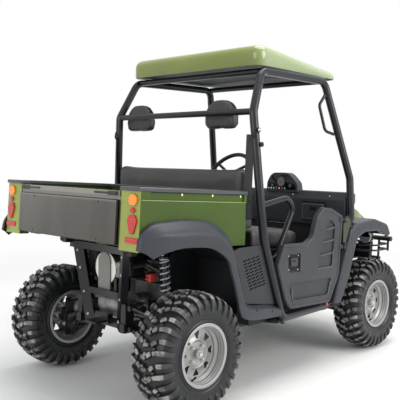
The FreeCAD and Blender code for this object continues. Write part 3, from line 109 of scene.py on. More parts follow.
def at(x, y, z):
    """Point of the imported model's frame, in metres."""
    return Vector(((x - MID_X) / 1000, y / 1000, z / 1000))


def on_bed(u, y, w):
    """Point of the pitched bed: u forward of its rear face, w above its underside."""
    x = BED_X + u * cos(BED_PITCH) + w * sin(BED_PITCH)
    z = BED_Z - u * sin(BED_PITCH) + w * cos(BED_PITCH)
    return (x, y, z)


# Geometry


def unit(v):
    """Rows of vectors, each divided by its length."""
    v = np.asarray(v, float)
    return v / np.maximum(np.linalg.norm(v, axis=-1, keepdims=True), 1e-9)


def quads(n, m, loop, wrap):
    """Corner numbers of an n by m grid's quads; loop joins its last row to the first, wrap its
    last column."""
    i = np.arange(n if loop else n - 1)[:, None]
    a = np.arange(m if wrap else m - 1)[None, :]
    j, b = (i + 1) % n, (a + 1) % m
    return np.stack([i * m + a, i * m + b, j * m + b, j * m + a], -1).reshape(-1, 4)


def circle(steps):
    """Cosines and sines of equal steps round a circle."""
    angle = np.linspace(0, 2 * pi, steps, endpoint=False)
    return np.cos(angle), np.sin(angle)


def carried(path, closed=False, up=None):
    """Direction, side and up of a path at each point; without a given up the frame turns no more
    than the path does."""
    path = np.asarray(path, float)
    if closed:
        run = unit(np.roll(path, -1, 0) - np.roll(path, 1, 0))
    else:
        run = unit(np.gradient(path, axis=0))
    if up is not None:
        side = unit(np.cross(up, run))
        return run, side, np.cross(run, side)
    seed = (0.13, 0.2, 1) if abs(run[0][2]) < 0.9 else (1, 0.1, 0)
    side = [unit(np.cross(run[0], seed))]
    for here in run[1:]:
        side.append(unit(side[-1] - here * (side[-1] @ here)))
    side = np.array(side)
    return run, side, np.cross(run, side)


def rounded(points, radius, steps=5, closed=False):
    """Path whose corners are turned into arcs of about that radius; radius may be one number for
    each corner. An arc is the quadratic curve from a point before the corner to one after it."""
    points = [np.asarray(p, float) for p in points]
    count = len(points)
    radii = np.broadcast_to(np.asarray(radius, float), (count,))
    path = []
    for i, here in enumerate(points):
        if not closed and i in (0, count - 1):
            path.append(here)
            continue
        back = points[i - 1] - here
        ahead = points[(i + 1) % count] - here
        b, a = unit(back), unit(ahead)
        half = acos(max(-1.0, min(1.0, float(b @ a)))) / 2
        reach = min(radii[i] / max(tan(half), 1e-6), np.linalg.norm(back) * 0.48,
                    np.linalg.norm(ahead) * 0.48)
        if reach < 0.05 or half > 1.56:
            path.append(here)
            continue
        t = np.linspace(0, 1, steps + 1)[:, None]
        path += list((here + b * reach) * (1 - t) ** 2 + here * 2 * t * (1 - t)
                     + (here + a * reach) * t * t)
    return np.array(path)


def turn_between(before, corner, after, reach_before, reach_after, steps=4):
    """Rows of points that round a row of corners: a quadratic curve between a point on each side
    of the corner."""
    start = corner + (before - corner) * reach_before
    end = corner + (after - corner) * reach_after
    t = np.linspace(0, 1, steps + 1)[:, None, None]
    return start * (1 - t) ** 2 + corner * 2 * t * (1 - t) + end * t * t


def walled(skin, wall):
    """Section loops of a shell: each row of the skin, then the same row moved in along the
    normal, backwards."""
    along, across = np.gradient(skin, axis=0), np.gradient(skin, axis=1)
    normal = unit(np.cross(along, across))
    middle = skin.reshape(-1, 3).mean(0)
    if np.sum(normal * (skin - middle)) < 0:
        normal = -normal
    return np.concatenate([skin, (skin - normal * wall)[:, ::-1]], 1)


def smooth_step(value, low, high):
    """0 below low, 1 above high, with level ends between."""
    t = np.clip((value - low) / (high - low), 0, 1)
    return t * t * (3 - 2 * t)


def smooth_path(points, steps):
    """Catmull-Rom curve through rows of numbers, with that many steps from each row to the next."""
    rows = np.asarray(points, float)
    rows = np.concatenate([2 * rows[:1] - rows[1:2], rows, 2 * rows[-1:] - rows[-2:-1]])
    a, b, c, d = rows[:-3, None], rows[1:-2, None], rows[2:-1, None], rows[3:, None]
    t = (np.arange(steps) / steps)[:, None]
    curve = 0.5 * (2 * b + (c - a) * t + (2 * a - 5 * b + 4 * c - d) * t ** 2
                   + (3 * b - a - 3 * c + d) * t ** 3)
    return np.concatenate([curve.reshape(-1, rows.shape[1]), rows[-2:-1]])


def drawn_in(outline, inset):
    """Closed outline moved inwards and turned anticlockwise: each point goes along the mean of
    its two edges' normals, further at a sharp corner."""
    outline = np.asarray(outline, float)
    a, b = outline.T
    if np.sum(a * np.roll(b, -1) - b * np.roll(a, -1)) < 0:
        outline = outline[::-1]
    before = unit(outline - np.roll(outline, 1, 0))
    after = unit(np.roll(outline, -1, 0) - outline)
    normal = unit(np.stack([before[:, 1] + after[:, 1], -before[:, 0] - after[:, 0]], 1))
    lean = np.maximum(0.5, normal[:, 0] * before[:, 1] - normal[:, 1] * before[:, 0])
    return outline - normal / lean[:, None] * inset


class Form:
    """Gathers points and faces in millimetres, then makes one mesh of them."""

    def __init__(self):
        self.points = []
        self.faces = []
        self.kinds = []
        self.values = []
        self.count = 0

    def add(self, points, faces, kind=0, value=0.0):
        """Points, faces as rows of their numbers, a finish, and one amount of dust and painted
        highlight, or one per point.
        """
        points = np.asarray(points, float).reshape(-1, 3)
        self.points.append(points)
        self.faces += [tuple(self.count + i for i in face) for face in np.asarray(faces).tolist()]
        self.kinds += [kind] * len(faces)
        self.values.append(np.broadcast_to(np.asarray(value, float).reshape(-1), (len(points),)))
        self.count += len(points)

    def grid(self, rows, wrap=False, loop=False, ends=False, kind=0):
        """Quads over rows of points; wrap closes each row, loop joins the last row to the first."""
        rows = np.asarray(rows, float)
        n, m = rows.shape[:2]
        self.add(rows, quads(n, m, loop, wrap), kind)
        if ends:
            for cap in (rows[0], rows[-1][::-1]):
                self.add(cap, [range(m)], kind)

    def many(self, copies, value):
        """The same grid of faces for each copy; copies has the shape (copy, row, column, 3)."""
        copies = np.asarray(copies, float)
        count, n, m = copies.shape[:3]
        shift = np.arange(count)[:, None, None] * (n * m)
        self.add(copies, (quads(n, m, False, False)[None] + shift).reshape(-1, 4), 0, value)

    def ring(self, profile, centre, steps=64, side=1, closed=True):
        """Rows of (along Y, radius) turned about a line along Y: x = r sin a, z = r cos a."""
        along, radius = np.asarray(profile, float).T
        c, s = circle(steps)
        rows = np.stack([centre[0] + radius * s[:, None], centre[1] + side * along + 0 * s[:, None],
                         centre[2] + radius * c[:, None]], -1)
        self.grid(rows, wrap=closed, loop=True)

    def turned(self, start, axis, profile, steps=20, kind=0):
        """Rows of (along the axis, radius) turned about any line, with closed ends."""
        start, axis = np.asarray(start, float), unit(axis)
        side = unit(np.cross(axis, (0.31, 0.2, 1) if abs(axis[2]) < 0.9 else (1, 0, 0)))
        up = np.cross(axis, side)
        c, s = circle(steps)
        around = side * c[:, None] + up * s[:, None]
        profile = np.asarray(profile, float)[:, :, None, None]
        self.grid(start + axis * profile[:, 0] + around * profile[:, 1], wrap=True, ends=True,
                  kind=kind)

    def sweep(self, path, section, up, closed=False, kind=0):
        """Section of (across, upwards) rows carried along a path."""
        path, section = np.asarray(path, float), np.asarray(section, float)
        _, across, lift = carried(path, closed, np.asarray(up, float))
        rows = path[:, None] + across[:, None] * section[:, 0, None] + lift[:, None] * section[:,
                                                                                               1,
                                                                                               None]
        self.grid(rows, wrap=True, loop=closed, ends=not closed, kind=kind)

    def tube(self, points, radius, bend=0.0, steps=14, closed=False, kind=0):
        """Circle of that radius carried along a path, whose corners are rounded by bend."""
        path = rounded(points, bend, 7, closed) if bend else np.asarray(points, float)
        _, side, up = carried(path, closed)
        c, s = circle(steps)
        rows = path[:, None] + radius * (side[:, None] * c[:, None] + up[:, None] * s[:, None])
        self.grid(rows, wrap=True, loop=closed, ends=not closed, kind=kind)

    def block(self, low, high, soft=1.5, kind=0):
        """Box between two corners: an eight-cornered outline drawn in by soft at its two ends."""
        low, high = np.minimum(low, high).astype(float), np.maximum(low, high).astype(float)
        soft = min(soft, float((high - low).min()) * 0.45)
        middle, size = (low + high) / 2, (high - low) / 2
        x, y = size[:2]
        sx, sy = size[:2] - soft
        outline = np.array([(-sx, -y), (sx, -y), (x, -sy), (x, sy), (sx, y), (-sx, y), (-x, sy),
                            (-x, -sy)])
        rows = []
        for z, inset in ((low[2], soft), (low[2] + soft, 0), (high[2] - soft, 0), (high[2], soft)):
            flat = outline * ((size[:2] - inset) / size[:2]) + middle[:2]
            rows.append(np.column_stack([flat, np.full(8, z)]))
        self.grid(rows, wrap=True, ends=True, kind=kind)

    def plate(self, outline, place, low, high, soft=2.0, kind=0):
        """Flat plate with quarter-round edges; place maps arrays a, b and a depth to points."""
        turn = np.linspace(0, pi / 2, 3)[::-1]
        depth, inset = soft * (1 - np.sin(turn)), soft * (1 - np.cos(turn))
        levels = [*zip(inset, low + depth), *zip(inset[::-1], high - depth[::-1])]
        rows = [place(*drawn_in(outline, edge).T, level) for edge, level in levels]
        self.grid(rows, wrap=True, ends=True, kind=kind)

    def bolt(self, place, axis, size=8.0, height=5.0, kind=0):
        """Hexagon head on a washer, standing on a surface."""
        place, axis = np.asarray(place, float), unit(axis)
        washer = [(0, size * 0.95), (1.7, size * 0.95), (2.0, size * 0.85)]
        head = [(1.0, size * 0.62), (height * 0.8, size * 0.62), (height, size * 0.5)]
        self.turned(place - axis * 0.5, axis, washer, 16, kind)
        self.turned(place, axis, head, 6, kind)

    def screw(self, place, axis, size=6.0, kind=0):
        """Low round head."""
        place, axis = np.asarray(place, float), unit(axis)
        head = [(0, size), (size * 0.25, size * 0.92), (size * 0.42, size * 0.6)]
        self.turned(place - axis * 0.4, axis, head, 12, kind)

    def mirror(self):
        """Adds the same points and faces on the other side of the vehicle."""
        base = self.count
        self.points += [points * [1, -1, 1] for points in self.points]
        self.faces += [tuple(base + i for i in face) for face in self.faces]
        self.kinds *= 2
        self.values *= 2
        self.count *= 2

    def make(self, name, looks, body, slot, replaces=(), sharp=32.0, weld=0.02):
        """The mesh object, riding on its body, with edges over sharp degrees kept crisp."""
        metres = np.concatenate(self.points) / 1000
        metres[:, 0] -= MID_X / 1000
        mesh = bpy.data.meshes.new(name)
        mesh.from_pydata(metres.tolist(), [], self.faces)
        values = np.concatenate(self.values)
        if np.ptp(values) > 0:
            # per-point amount of pale film, dust and painted highlight, read by the tyre rubber
            layer = mesh.attributes.new("worn", "FLOAT", "POINT")
            layer.data.foreach_set("value", values.astype(np.float32))
        for look in looks:
            mesh.materials.append(material(look))
        mesh.polygons.foreach_set("material_index", self.kinds)
        cleaned(mesh, weld / 1000, sharp)
        return seat(bpy.data.objects.new(name, mesh), body, slot, replaces)


def linked(piece):
    """Puts an object into the scene."""
    bpy.context.scene.collection.objects.link(piece)
    return piece


def body_of(node):
    """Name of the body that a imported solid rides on."""
    return frame["nodes"][node]["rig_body"]


def seat(piece, body, slot, replaces=()):
    """Links a piece and says what it rides on and stands for; its slot is not used."""
    if piece.name not in bpy.context.scene.collection.objects:
        linked(piece)
    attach(piece, body)
    if replaces:
        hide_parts(*replaces)
    return piece


def columns(rows, field):
    """One field of a mesh's vertices, faces or normals as rows of three numbers."""
    flat = np.zeros(len(rows) * 3, np.float32)
    rows.foreach_get(field, flat)
    return flat.reshape(-1, 3).astype(float)


def move_to(mesh, places):
    """Puts a mesh's vertices at rows of places."""
    mesh.vertices.foreach_set("co", places.astype(np.float32).ravel())
    mesh.update()


def copied(node, name):
    """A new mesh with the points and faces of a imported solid."""
    source = frame["nodes"][node].data
    mesh = bpy.data.meshes.new(name)
    faces = [tuple(face.vertices) for face in source.polygons]
    mesh.from_pydata(columns(source.vertices, "co").tolist(), [], faces)
    return mesh


def cleaned(mesh, weld, sharp, merge_flat=False):
    """Merges points nearer than weld, turns the faces outwards and shades all but sharp edges."""
    tool = bmesh.new()
    tool.from_mesh(mesh)
    bmesh.ops.remove_doubles(tool, verts=tool.verts, dist=weld)
    if merge_flat:
        bmesh.ops.dissolve_limit(tool, angle_limit=radians(0.6), verts=tool.verts, edges=tool.edges)
    bmesh.ops.recalc_face_normals(tool, faces=tool.faces)
    tool.to_mesh(mesh)
    tool.free()
    mesh.shade_smooth()
    mesh.set_sharp_from_angle(angle=radians(sharp))


def settled(piece):
    """Turns a piece's modifiers into its mesh."""
    graph = bpy.context.evaluated_depsgraph_get()
    mesh = bpy.data.meshes.new_from_object(piece.evaluated_get(graph),
                                           preserve_all_data_layers=True, depsgraph=graph)
    piece.modifiers.clear()
    piece.data = mesh


def carve(piece, cutter):
    """Cuts one mesh out of another and throws the cutter away."""
    step = piece.modifiers.new("Carve", "BOOLEAN")
    step.operation = "DIFFERENCE"
    step.solver = "EXACT"
    step.object = cutter
    bpy.context.view_layer.update()
    settled(piece)
    bpy.data.objects.remove(cutter)


def eased(piece, width, segments, angle, miter="MITER_SHARP"):
    """Rounds the edges over angle degrees by a width in millimetres."""
    edge = piece.modifiers.new("Edges", "BEVEL")
    edge.width = width / 1000
    edge.segments = segments
    edge.limit_method = "ANGLE"
    edge.angle_limit = radians(angle)
    edge.miter_outer = miter


def refined(node, look, slot, bevel=0.0, angle=32.0, segments=2, sharp=32.0, pick=None, looks=()):
    """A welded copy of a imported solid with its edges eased; pick gives each face's finish from
    its centre and normal, in millimetres from the rear axle."""
    mesh = copied(node, "skin_" + node)
    cleaned(mesh, WELD, sharp, merge_flat=bevel > 0)
    for name in (look, *looks):
        mesh.materials.append(material(name))
    if pick:
        centres = columns(mesh.polygons, "center") * 1000 + [MID_X, 0, 0]
        kinds = pick(centres, columns(mesh.polygons, "normal"))
        mesh.polygons.foreach_set("material_index", kinds.astype(np.int32))
    piece = bpy.data.objects.new("skin_" + node, mesh)
    seat(piece, body_of(node), slot, [node])
    if bevel:
        eased(piece, bevel, segments, angle, "MITER_ARC")


# Materials


class Wire:
    """One number or colour of a material, with arithmetic on its numbers."""

    def __init__(self, graph, socket):
        self.graph = graph
        self.socket = socket

    def math(self, kind, *others):
        """Math node on this number and the others."""
        return self.graph.node("ShaderNodeMath", (self, *others), operation=kind)

    def __add__(self, other):
        return self.math("ADD", other)

    __radd__ = __add__

    def __sub__(self, other):
        return self.math("SUBTRACT", other)

    def __rsub__(self, other):
        return self.graph.node("ShaderNodeMath", (other, self), operation="SUBTRACT")

    def __mul__(self, other):
        return self.math("MULTIPLY", other)

    __rmul__ = __mul__

    def ramp(self, low, high):
        """0 below low, 1 above high, smooth between."""
        return self.graph.node("ShaderNodeMapRange",
                               {"Value": self, "From Min": low, "From Max": high},
                               interpolation_type="SMOOTHSTEP", clamp=True)

    def limit(self):
        """The number kept between 0 and 1."""
        return self.graph.node("ShaderNodeClamp", {"Value": self})


class Graph:
    """One material's nodes round a principled shader."""

    def __init__(self, name):
        self.material = bpy.data.materials.new(name)
        self.material.use_nodes = True
        self.tree = self.material.node_tree
        self.tree.nodes.clear()
        self.shader = self.tree.nodes.new("ShaderNodeBsdfPrincipled")
        self.output = self.tree.nodes.new("ShaderNodeOutputMaterial")
        self.tree.links.new(self.shader.outputs[0], self.output.inputs["Surface"])
        self.coords = None

    def feed(self, socket, value):
        """Links a wire to a socket, or sets the socket to a number or colour."""
        if isinstance(value, Wire):
            self.tree.links.new(value.socket, socket)
        elif isinstance(value, tuple) and len(value) == 3 and socket.type == "RGBA":
            socket.default_value = (*value, 1.0)
        else:
            socket.default_value = value

    def node(self, kind, inputs, out=0, **settings):
        """Any node: its settings first, then its sockets, by name or in their order."""
        made = self.tree.nodes.new(kind)
        for key, value in settings.items():
            setattr(made, key, value)
        if isinstance(inputs, dict):
            for key, value in inputs.items():
                self.feed(made.inputs[key], value)
        else:
            for socket, value in zip(made.inputs, inputs):
                self.feed(socket, value)
        return Wire(self, made.outputs[out])

    def place(self):
        """Object coordinates, in metres."""
        if self.coords is None:
            self.coords = self.node("ShaderNodeTexCoord", {}, out="Object")
        return self.coords

    def axis(self, name):
        """One of the coordinates: X, Y or Z."""
        return self.node("ShaderNodeSeparateXYZ", {"Vector": self.place()}, out=name)

    def stretched(self, x, y, z):
        """Coordinates multiplied along each axis, which draws a pattern out where it is small."""
        return self.node("ShaderNodeMapping", {"Vector": self.place(), "Scale": (x, y, z)})

    def noise(self, scale, detail=2.0, rough=0.5, where=None):
        """Cloudy pattern from 0 to 1, with scale cells to a metre."""
        return self.node("ShaderNodeTexNoise", {"Vector": where or self.place(), "Scale": scale,
                                                "Detail": detail, "Roughness": rough})

    def cells(self, scale, feature="F1"):
        """Pebble pattern: distance from each cell's middle, or to its edge."""
        return self.node("ShaderNodeTexVoronoi", {"Vector": self.place(), "Scale": scale},
                         out="Distance", feature=feature)

    def mix(self, factor, a, b):
        """Colour a where the factor is 0 and b where it is 1."""
        made = self.tree.nodes.new("ShaderNodeMix")
        made.data_type = "RGBA"
        made.clamp_factor = True
        for number, value in ((0, factor), (6, a), (7, b)):
            self.feed(made.inputs[number], value)
        return Wire(self, made.outputs[2])

    def mottled(self, wire, colour, dark, pale, low=0.3, high=0.7):
        """Colour that wanders between a darker and a paler shade along a pattern."""
        return self.mix(wire.ramp(low, high), shade(colour, dark), shade(colour, pale))

    def bump(self, height, strength=0.3, depth=0.001, below=None):
        """Relief as a normal; depth is in metres."""
        inputs = {"Height": height, "Strength": strength, "Distance": depth}
        if below is not None:
            inputs["Normal"] = below
        return self.node("ShaderNodeBump", inputs)

    def set(self, **values):
        """Feeds the shader's sockets by name and returns the material."""
        for key, value in values.items():
            self.feed(self.shader.inputs[key.replace("_", " ")], value)
        return self.material


def shade(colour, factor):
    """A colour made darker or lighter."""
    return tuple(min(1.0, max(0.0, c * factor)) for c in colour)


def paint(name, colour, rough=0.2, coat=0.7, vary=0.06, peel=0.05, metal=0.0, dust=0.25, shine=0.4):
    """Sprayed gloss paint: faint unevenness, a clear coat and a little road dust low down."""
    g = Graph(name)
    cloud = g.noise(3.0, 3.0)
    fine = g.noise(45.0, 4.0, 0.6)
    specks = g.noise(900.0, 1.0)
    low = 1.0 - g.axis("Z").ramp(0.2, 1.1)
    film = (fine.ramp(0.5, 0.78) * (low * 0.8 + 0.12) * (dust * 0.5)).limit()
    base = g.mix(film, g.mottled(cloud, colour, 1 - vary, 1 + vary), (0.40, 0.38, 0.34))
    return g.set(Base_Color=base, Roughness=(rough + film * 0.5 + (specks - 0.5) * 0.06).limit(),
                 Metallic=metal, Coat_Weight=coat, Coat_Roughness=0.06, Coat_IOR=1.4,
                 Specular_IOR_Level=shine, Normal=g.bump(g.noise(420.0, 1.0), peel, 0.0004))


def sky_glare_paint(name, colour, pale):
    """Gloss paint with a painted reflection of the sky: a paler colour towards the long sides, but
    not at the back.
    """
    g = Graph(name)
    cloud = g.noise(2.4, 3.0)
    fine = g.noise(60.0, 4.0, 0.6)
    # painted reflection of the sky: the paler colour is mixed in towards the long sides, and not at
    # the back
    out = g.axis("Y").math("ABSOLUTE").ramp(0.43, 0.515)
    ahead = g.axis("X").ramp(-0.44, -0.34)
    painted_glare = (out * ahead * (cloud * 0.3 + 0.45)).limit()
    return g.set(Base_Color=g.mix(painted_glare, g.mottled(cloud, colour, 0.93, 1.07), pale),
                 Roughness=(0.16 + fine.ramp(0.5, 0.8) * 0.12).limit(), Coat_Weight=0.6,
                 Coat_Roughness=0.05, Specular_IOR_Level=0.4,
                 Normal=g.bump(g.noise(300.0, 1.0), 0.04, 0.0004))


def moulded(name, colour, rough=0.55, grain=700.0, depth=0.25, dust=0.3,
            dust_colour=(0.30, 0.30, 0.30), shine=0.35):
    """Textured plastic with a pebbled grain, scuffs and a film of dust."""
    g = Graph(name)
    cloud = g.noise(5.0, 4.0, 0.6)
    fine = g.noise(grain * 1.7, 2.0)
    scuff = g.noise(60.0, 5.0, 0.7, g.stretched(1.0, 3.0, 0.35)).ramp(0.56, 0.78)
    film = (scuff * dust * cloud.ramp(0.35, 0.75)).limit()
    base = g.mix(film, g.mottled(cloud, colour, 0.88, 1.12), dust_colour)
    return g.set(Base_Color=base, Roughness=(rough + (fine - 0.5) * 0.16 + film * 0.25).limit(),
                 Normal=g.bump(g.cells(grain) * 0.7 + fine * 0.3, depth, 0.0006),
                 Specular_IOR_Level=shine)


def rubber(name):
    """Tyre rubber: blue-grey sheen, dry marks, and on the lug tops, where the road rubs them, a
    pale film of dust and painted highlight.
    """
    g = Graph(name)
    cloud = g.noise(7.0, 4.0, 0.6)
    fine = g.noise(260.0, 3.0, 0.6)
    worn = g.node("ShaderNodeAttribute", {}, out="Fac", attribute_name="worn")
    patch = g.noise(16.0, 3.0, 0.6).ramp(0.38, 0.62)
    # pale film on the lug tops: road dust and a painted highlight
    film = (worn * worn * 0.72 * (patch * 0.75 + fine * 0.5)).limit()
    base = g.mix(film, g.mottled(cloud, (0.011, 0.012, 0.014), 0.8, 1.35), (0.42, 0.41, 0.38))
    return g.set(Base_Color=base, Roughness=(0.36 + film * 0.4 + (fine - 0.5) * 0.16).limit(),
                 Normal=g.bump(fine + cloud * 0.4, 0.22, 0.0008), Specular_IOR_Level=0.35)


def brushed_gate(name, colour, pale):
    """Satin bronze-grey paint with a painted highlight under the top edge and soft upright streaks.
    """
    g = Graph(name)
    streak = g.noise(2.2, 3.0, 0.5, g.stretched(1.0, 2.0, 0.5))
    fine = g.noise(700.0, 2.0)
    # painted highlight: paler colour near the top of the gate, rising from 1.10 m height
    painted_top_highlight = (g.axis("Z").ramp(1.100, 1.122) * 0.8).limit()
    return g.set(Base_Color=g.mix(painted_top_highlight, g.mottled(streak, colour, 0.85, 1.12), pale),
                 Roughness=(0.34 + (streak - 0.5) * 0.08 + (fine - 0.5) * 0.06).limit(),
                 Metallic=0.2,
                 Coat_Weight=0.15, Coat_Roughness=0.15, Normal=g.bump(fine, 0.08, 0.0003),
                 Specular_IOR_Level=0.35)


def can_look(name):
    """Muffler: cream end plate, and heat-stained dark steel along its body."""
    g = Graph(name)
    cloud = g.noise(14.0, 4.0, 0.6)
    end = 1.0 - g.axis("X").ramp(-1.068, -1.062)
    steel = g.mix(cloud.ramp(0.3, 0.7), (0.055, 0.052, 0.05), (0.12, 0.105, 0.09))
    cream = g.mix(cloud.ramp(0.45, 0.8), (0.74, 0.73, 0.67), (0.62, 0.58, 0.48))
    return g.set(Base_Color=g.mix(end, steel, cream),
                 Roughness=(0.36 + (cloud - 0.5) * 0.25).limit(),
                 Metallic=(1.0 - end) * 0.7, Normal=g.bump(cloud, 0.15, 0.001))


def cast(name, colour, rough=0.45, lumps=0.35):
    """Sand-cast metal with oily patches."""
    g = Graph(name)
    cloud = g.noise(16.0, 4.0, 0.6)
    grit = g.noise(480.0, 3.0, 0.7)
    return g.set(Base_Color=g.mottled(cloud, colour, 0.62, 1.1, 0.35), Metallic=0.75,
                 Roughness=(rough + (cloud - 0.5) * 0.3 + (grit - 0.5) * 0.2).limit(),
                 Normal=g.bump(grit + g.cells(300.0) * 0.5, lumps, 0.0009))


def vinyl(name, colour, rough=0.42):
    """Upholstery vinyl: creased grain that catches the light."""
    g = Graph(name)
    cloud = g.noise(4.0, 3.0, 0.6)
    cracks = g.cells(330.0, feature="DISTANCE_TO_EDGE").ramp(0.0, 0.25)
    grain = g.noise(700.0, 2.0)
    base = g.mix((grain.ramp(0.6, 0.8) * 0.2).limit(),
                 g.mottled(cloud, colour, 0.82, 1.22, 0.3, 0.72), shade(colour, 2.2))
    creases = g.bump(g.noise(22.0, 4.0, 0.65), 0.35, 0.004)
    return g.set(Base_Color=base, Normal=g.bump(cracks * 0.8 + grain * 0.35, 0.4, 0.0007, creases),
                 Roughness=(rough + (cloud - 0.5) * 0.2 + (grain - 0.5) * 0.15).limit(),
                 Specular_IOR_Level=0.55)


def lens(name, colour, glow=0.0, rough=0.12, ribs=160.0, along="Z"):
    """Ribbed lamp glass, lit a little from inside; ribs sets how close its ribs stand."""
    g = Graph(name)
    wave = (g.axis(along) * (ribs * pi)).math("SINE")
    cross = (g.axis("Y") * (ribs * 1.3 * pi)).math("SINE")
    blotch = g.noise(40.0, 2.0)
    base = g.mix((blotch.ramp(0.55, 0.7) * 0.35).limit(),
                 g.mottled(wave, colour, 0.8, 1.1, -0.4, 1.0), shade(colour, 1.7))
    return g.set(Base_Color=base, Roughness=(rough + (blotch - 0.5) * 0.1).limit(), Coat_Weight=0.5,
                 Coat_Roughness=0.04, Normal=g.bump(wave + cross * 0.5, 0.25, 0.0012),
                 Emission_Color=colour, Emission_Strength=glow)


def webbing(name, colour):
    """Woven belt: two waves across each other."""
    g = Graph(name)
    weave = (g.axis("Z") * 2400.0).math("SINE") * (g.axis("Y") * 2400.0).math("SINE")
    return g.set(Base_Color=g.mottled(weave, colour, 0.6, 1.5, -1.0, 1.0),
                 Roughness=(weave * 0.05 + 0.75).limit(), Normal=g.bump(weave, 0.5, 0.0005))


def plated(name, colour, rough=0.28):
    """Bare or zinc-plated metal with fine scratches."""
    g = Graph(name)
    lines = g.noise(120.0, 3.0, 0.6, g.stretched(0.4, 6.0, 6.0))
    return g.set(Base_Color=g.mottled(g.noise(24.0, 3.0), colour, 0.78, 1.1), Metallic=1.0,
                 Roughness=(rough + (lines - 0.5) * 0.4).limit(),
                 Normal=g.bump(lines, 0.12, 0.0004))


def floor_look(name):
    """Pale even floor that turns white far out, for the camera and in reflections."""
    g = Graph(name)
    fine = g.noise(60.0, 3.0)
    base = g.mix(g.noise(0.6, 3.0).ramp(0.3, 0.7), (0.80, 0.785, 0.76), (0.86, 0.85, 0.835))
    g.set(Base_Color=base, Roughness=(0.72 + (fine - 0.5) * 0.1).limit(),
          Normal=g.bump(fine, 0.08, 0.001))
    x, y = g.axis("X"), g.axis("Y")
    far = (x * x + y * y).math("SQRT").ramp(2.2, 6.5)
    camera = g.node("ShaderNodeLightPath", {}, out="Is Camera Ray")
    seen = camera.math("MAXIMUM", g.node("ShaderNodeLightPath", {}, out="Is Glossy Ray"))
    white = g.node("ShaderNodeEmission", {"Strength": 1.0})
    blend = g.node("ShaderNodeMixShader", (far * seen, Wire(g, g.shader.outputs[0]), white))
    g.feed(g.output.inputs["Surface"], blend)
    return g.material


def dress(rows):
    """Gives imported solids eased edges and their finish; a row is node, finish, slot and edge
    width in millimetres."""
    for node, look, slot, width in rows:
        refined(node, look, slot, width)


# Colours that the panel sets, by piece
TINTS = {}

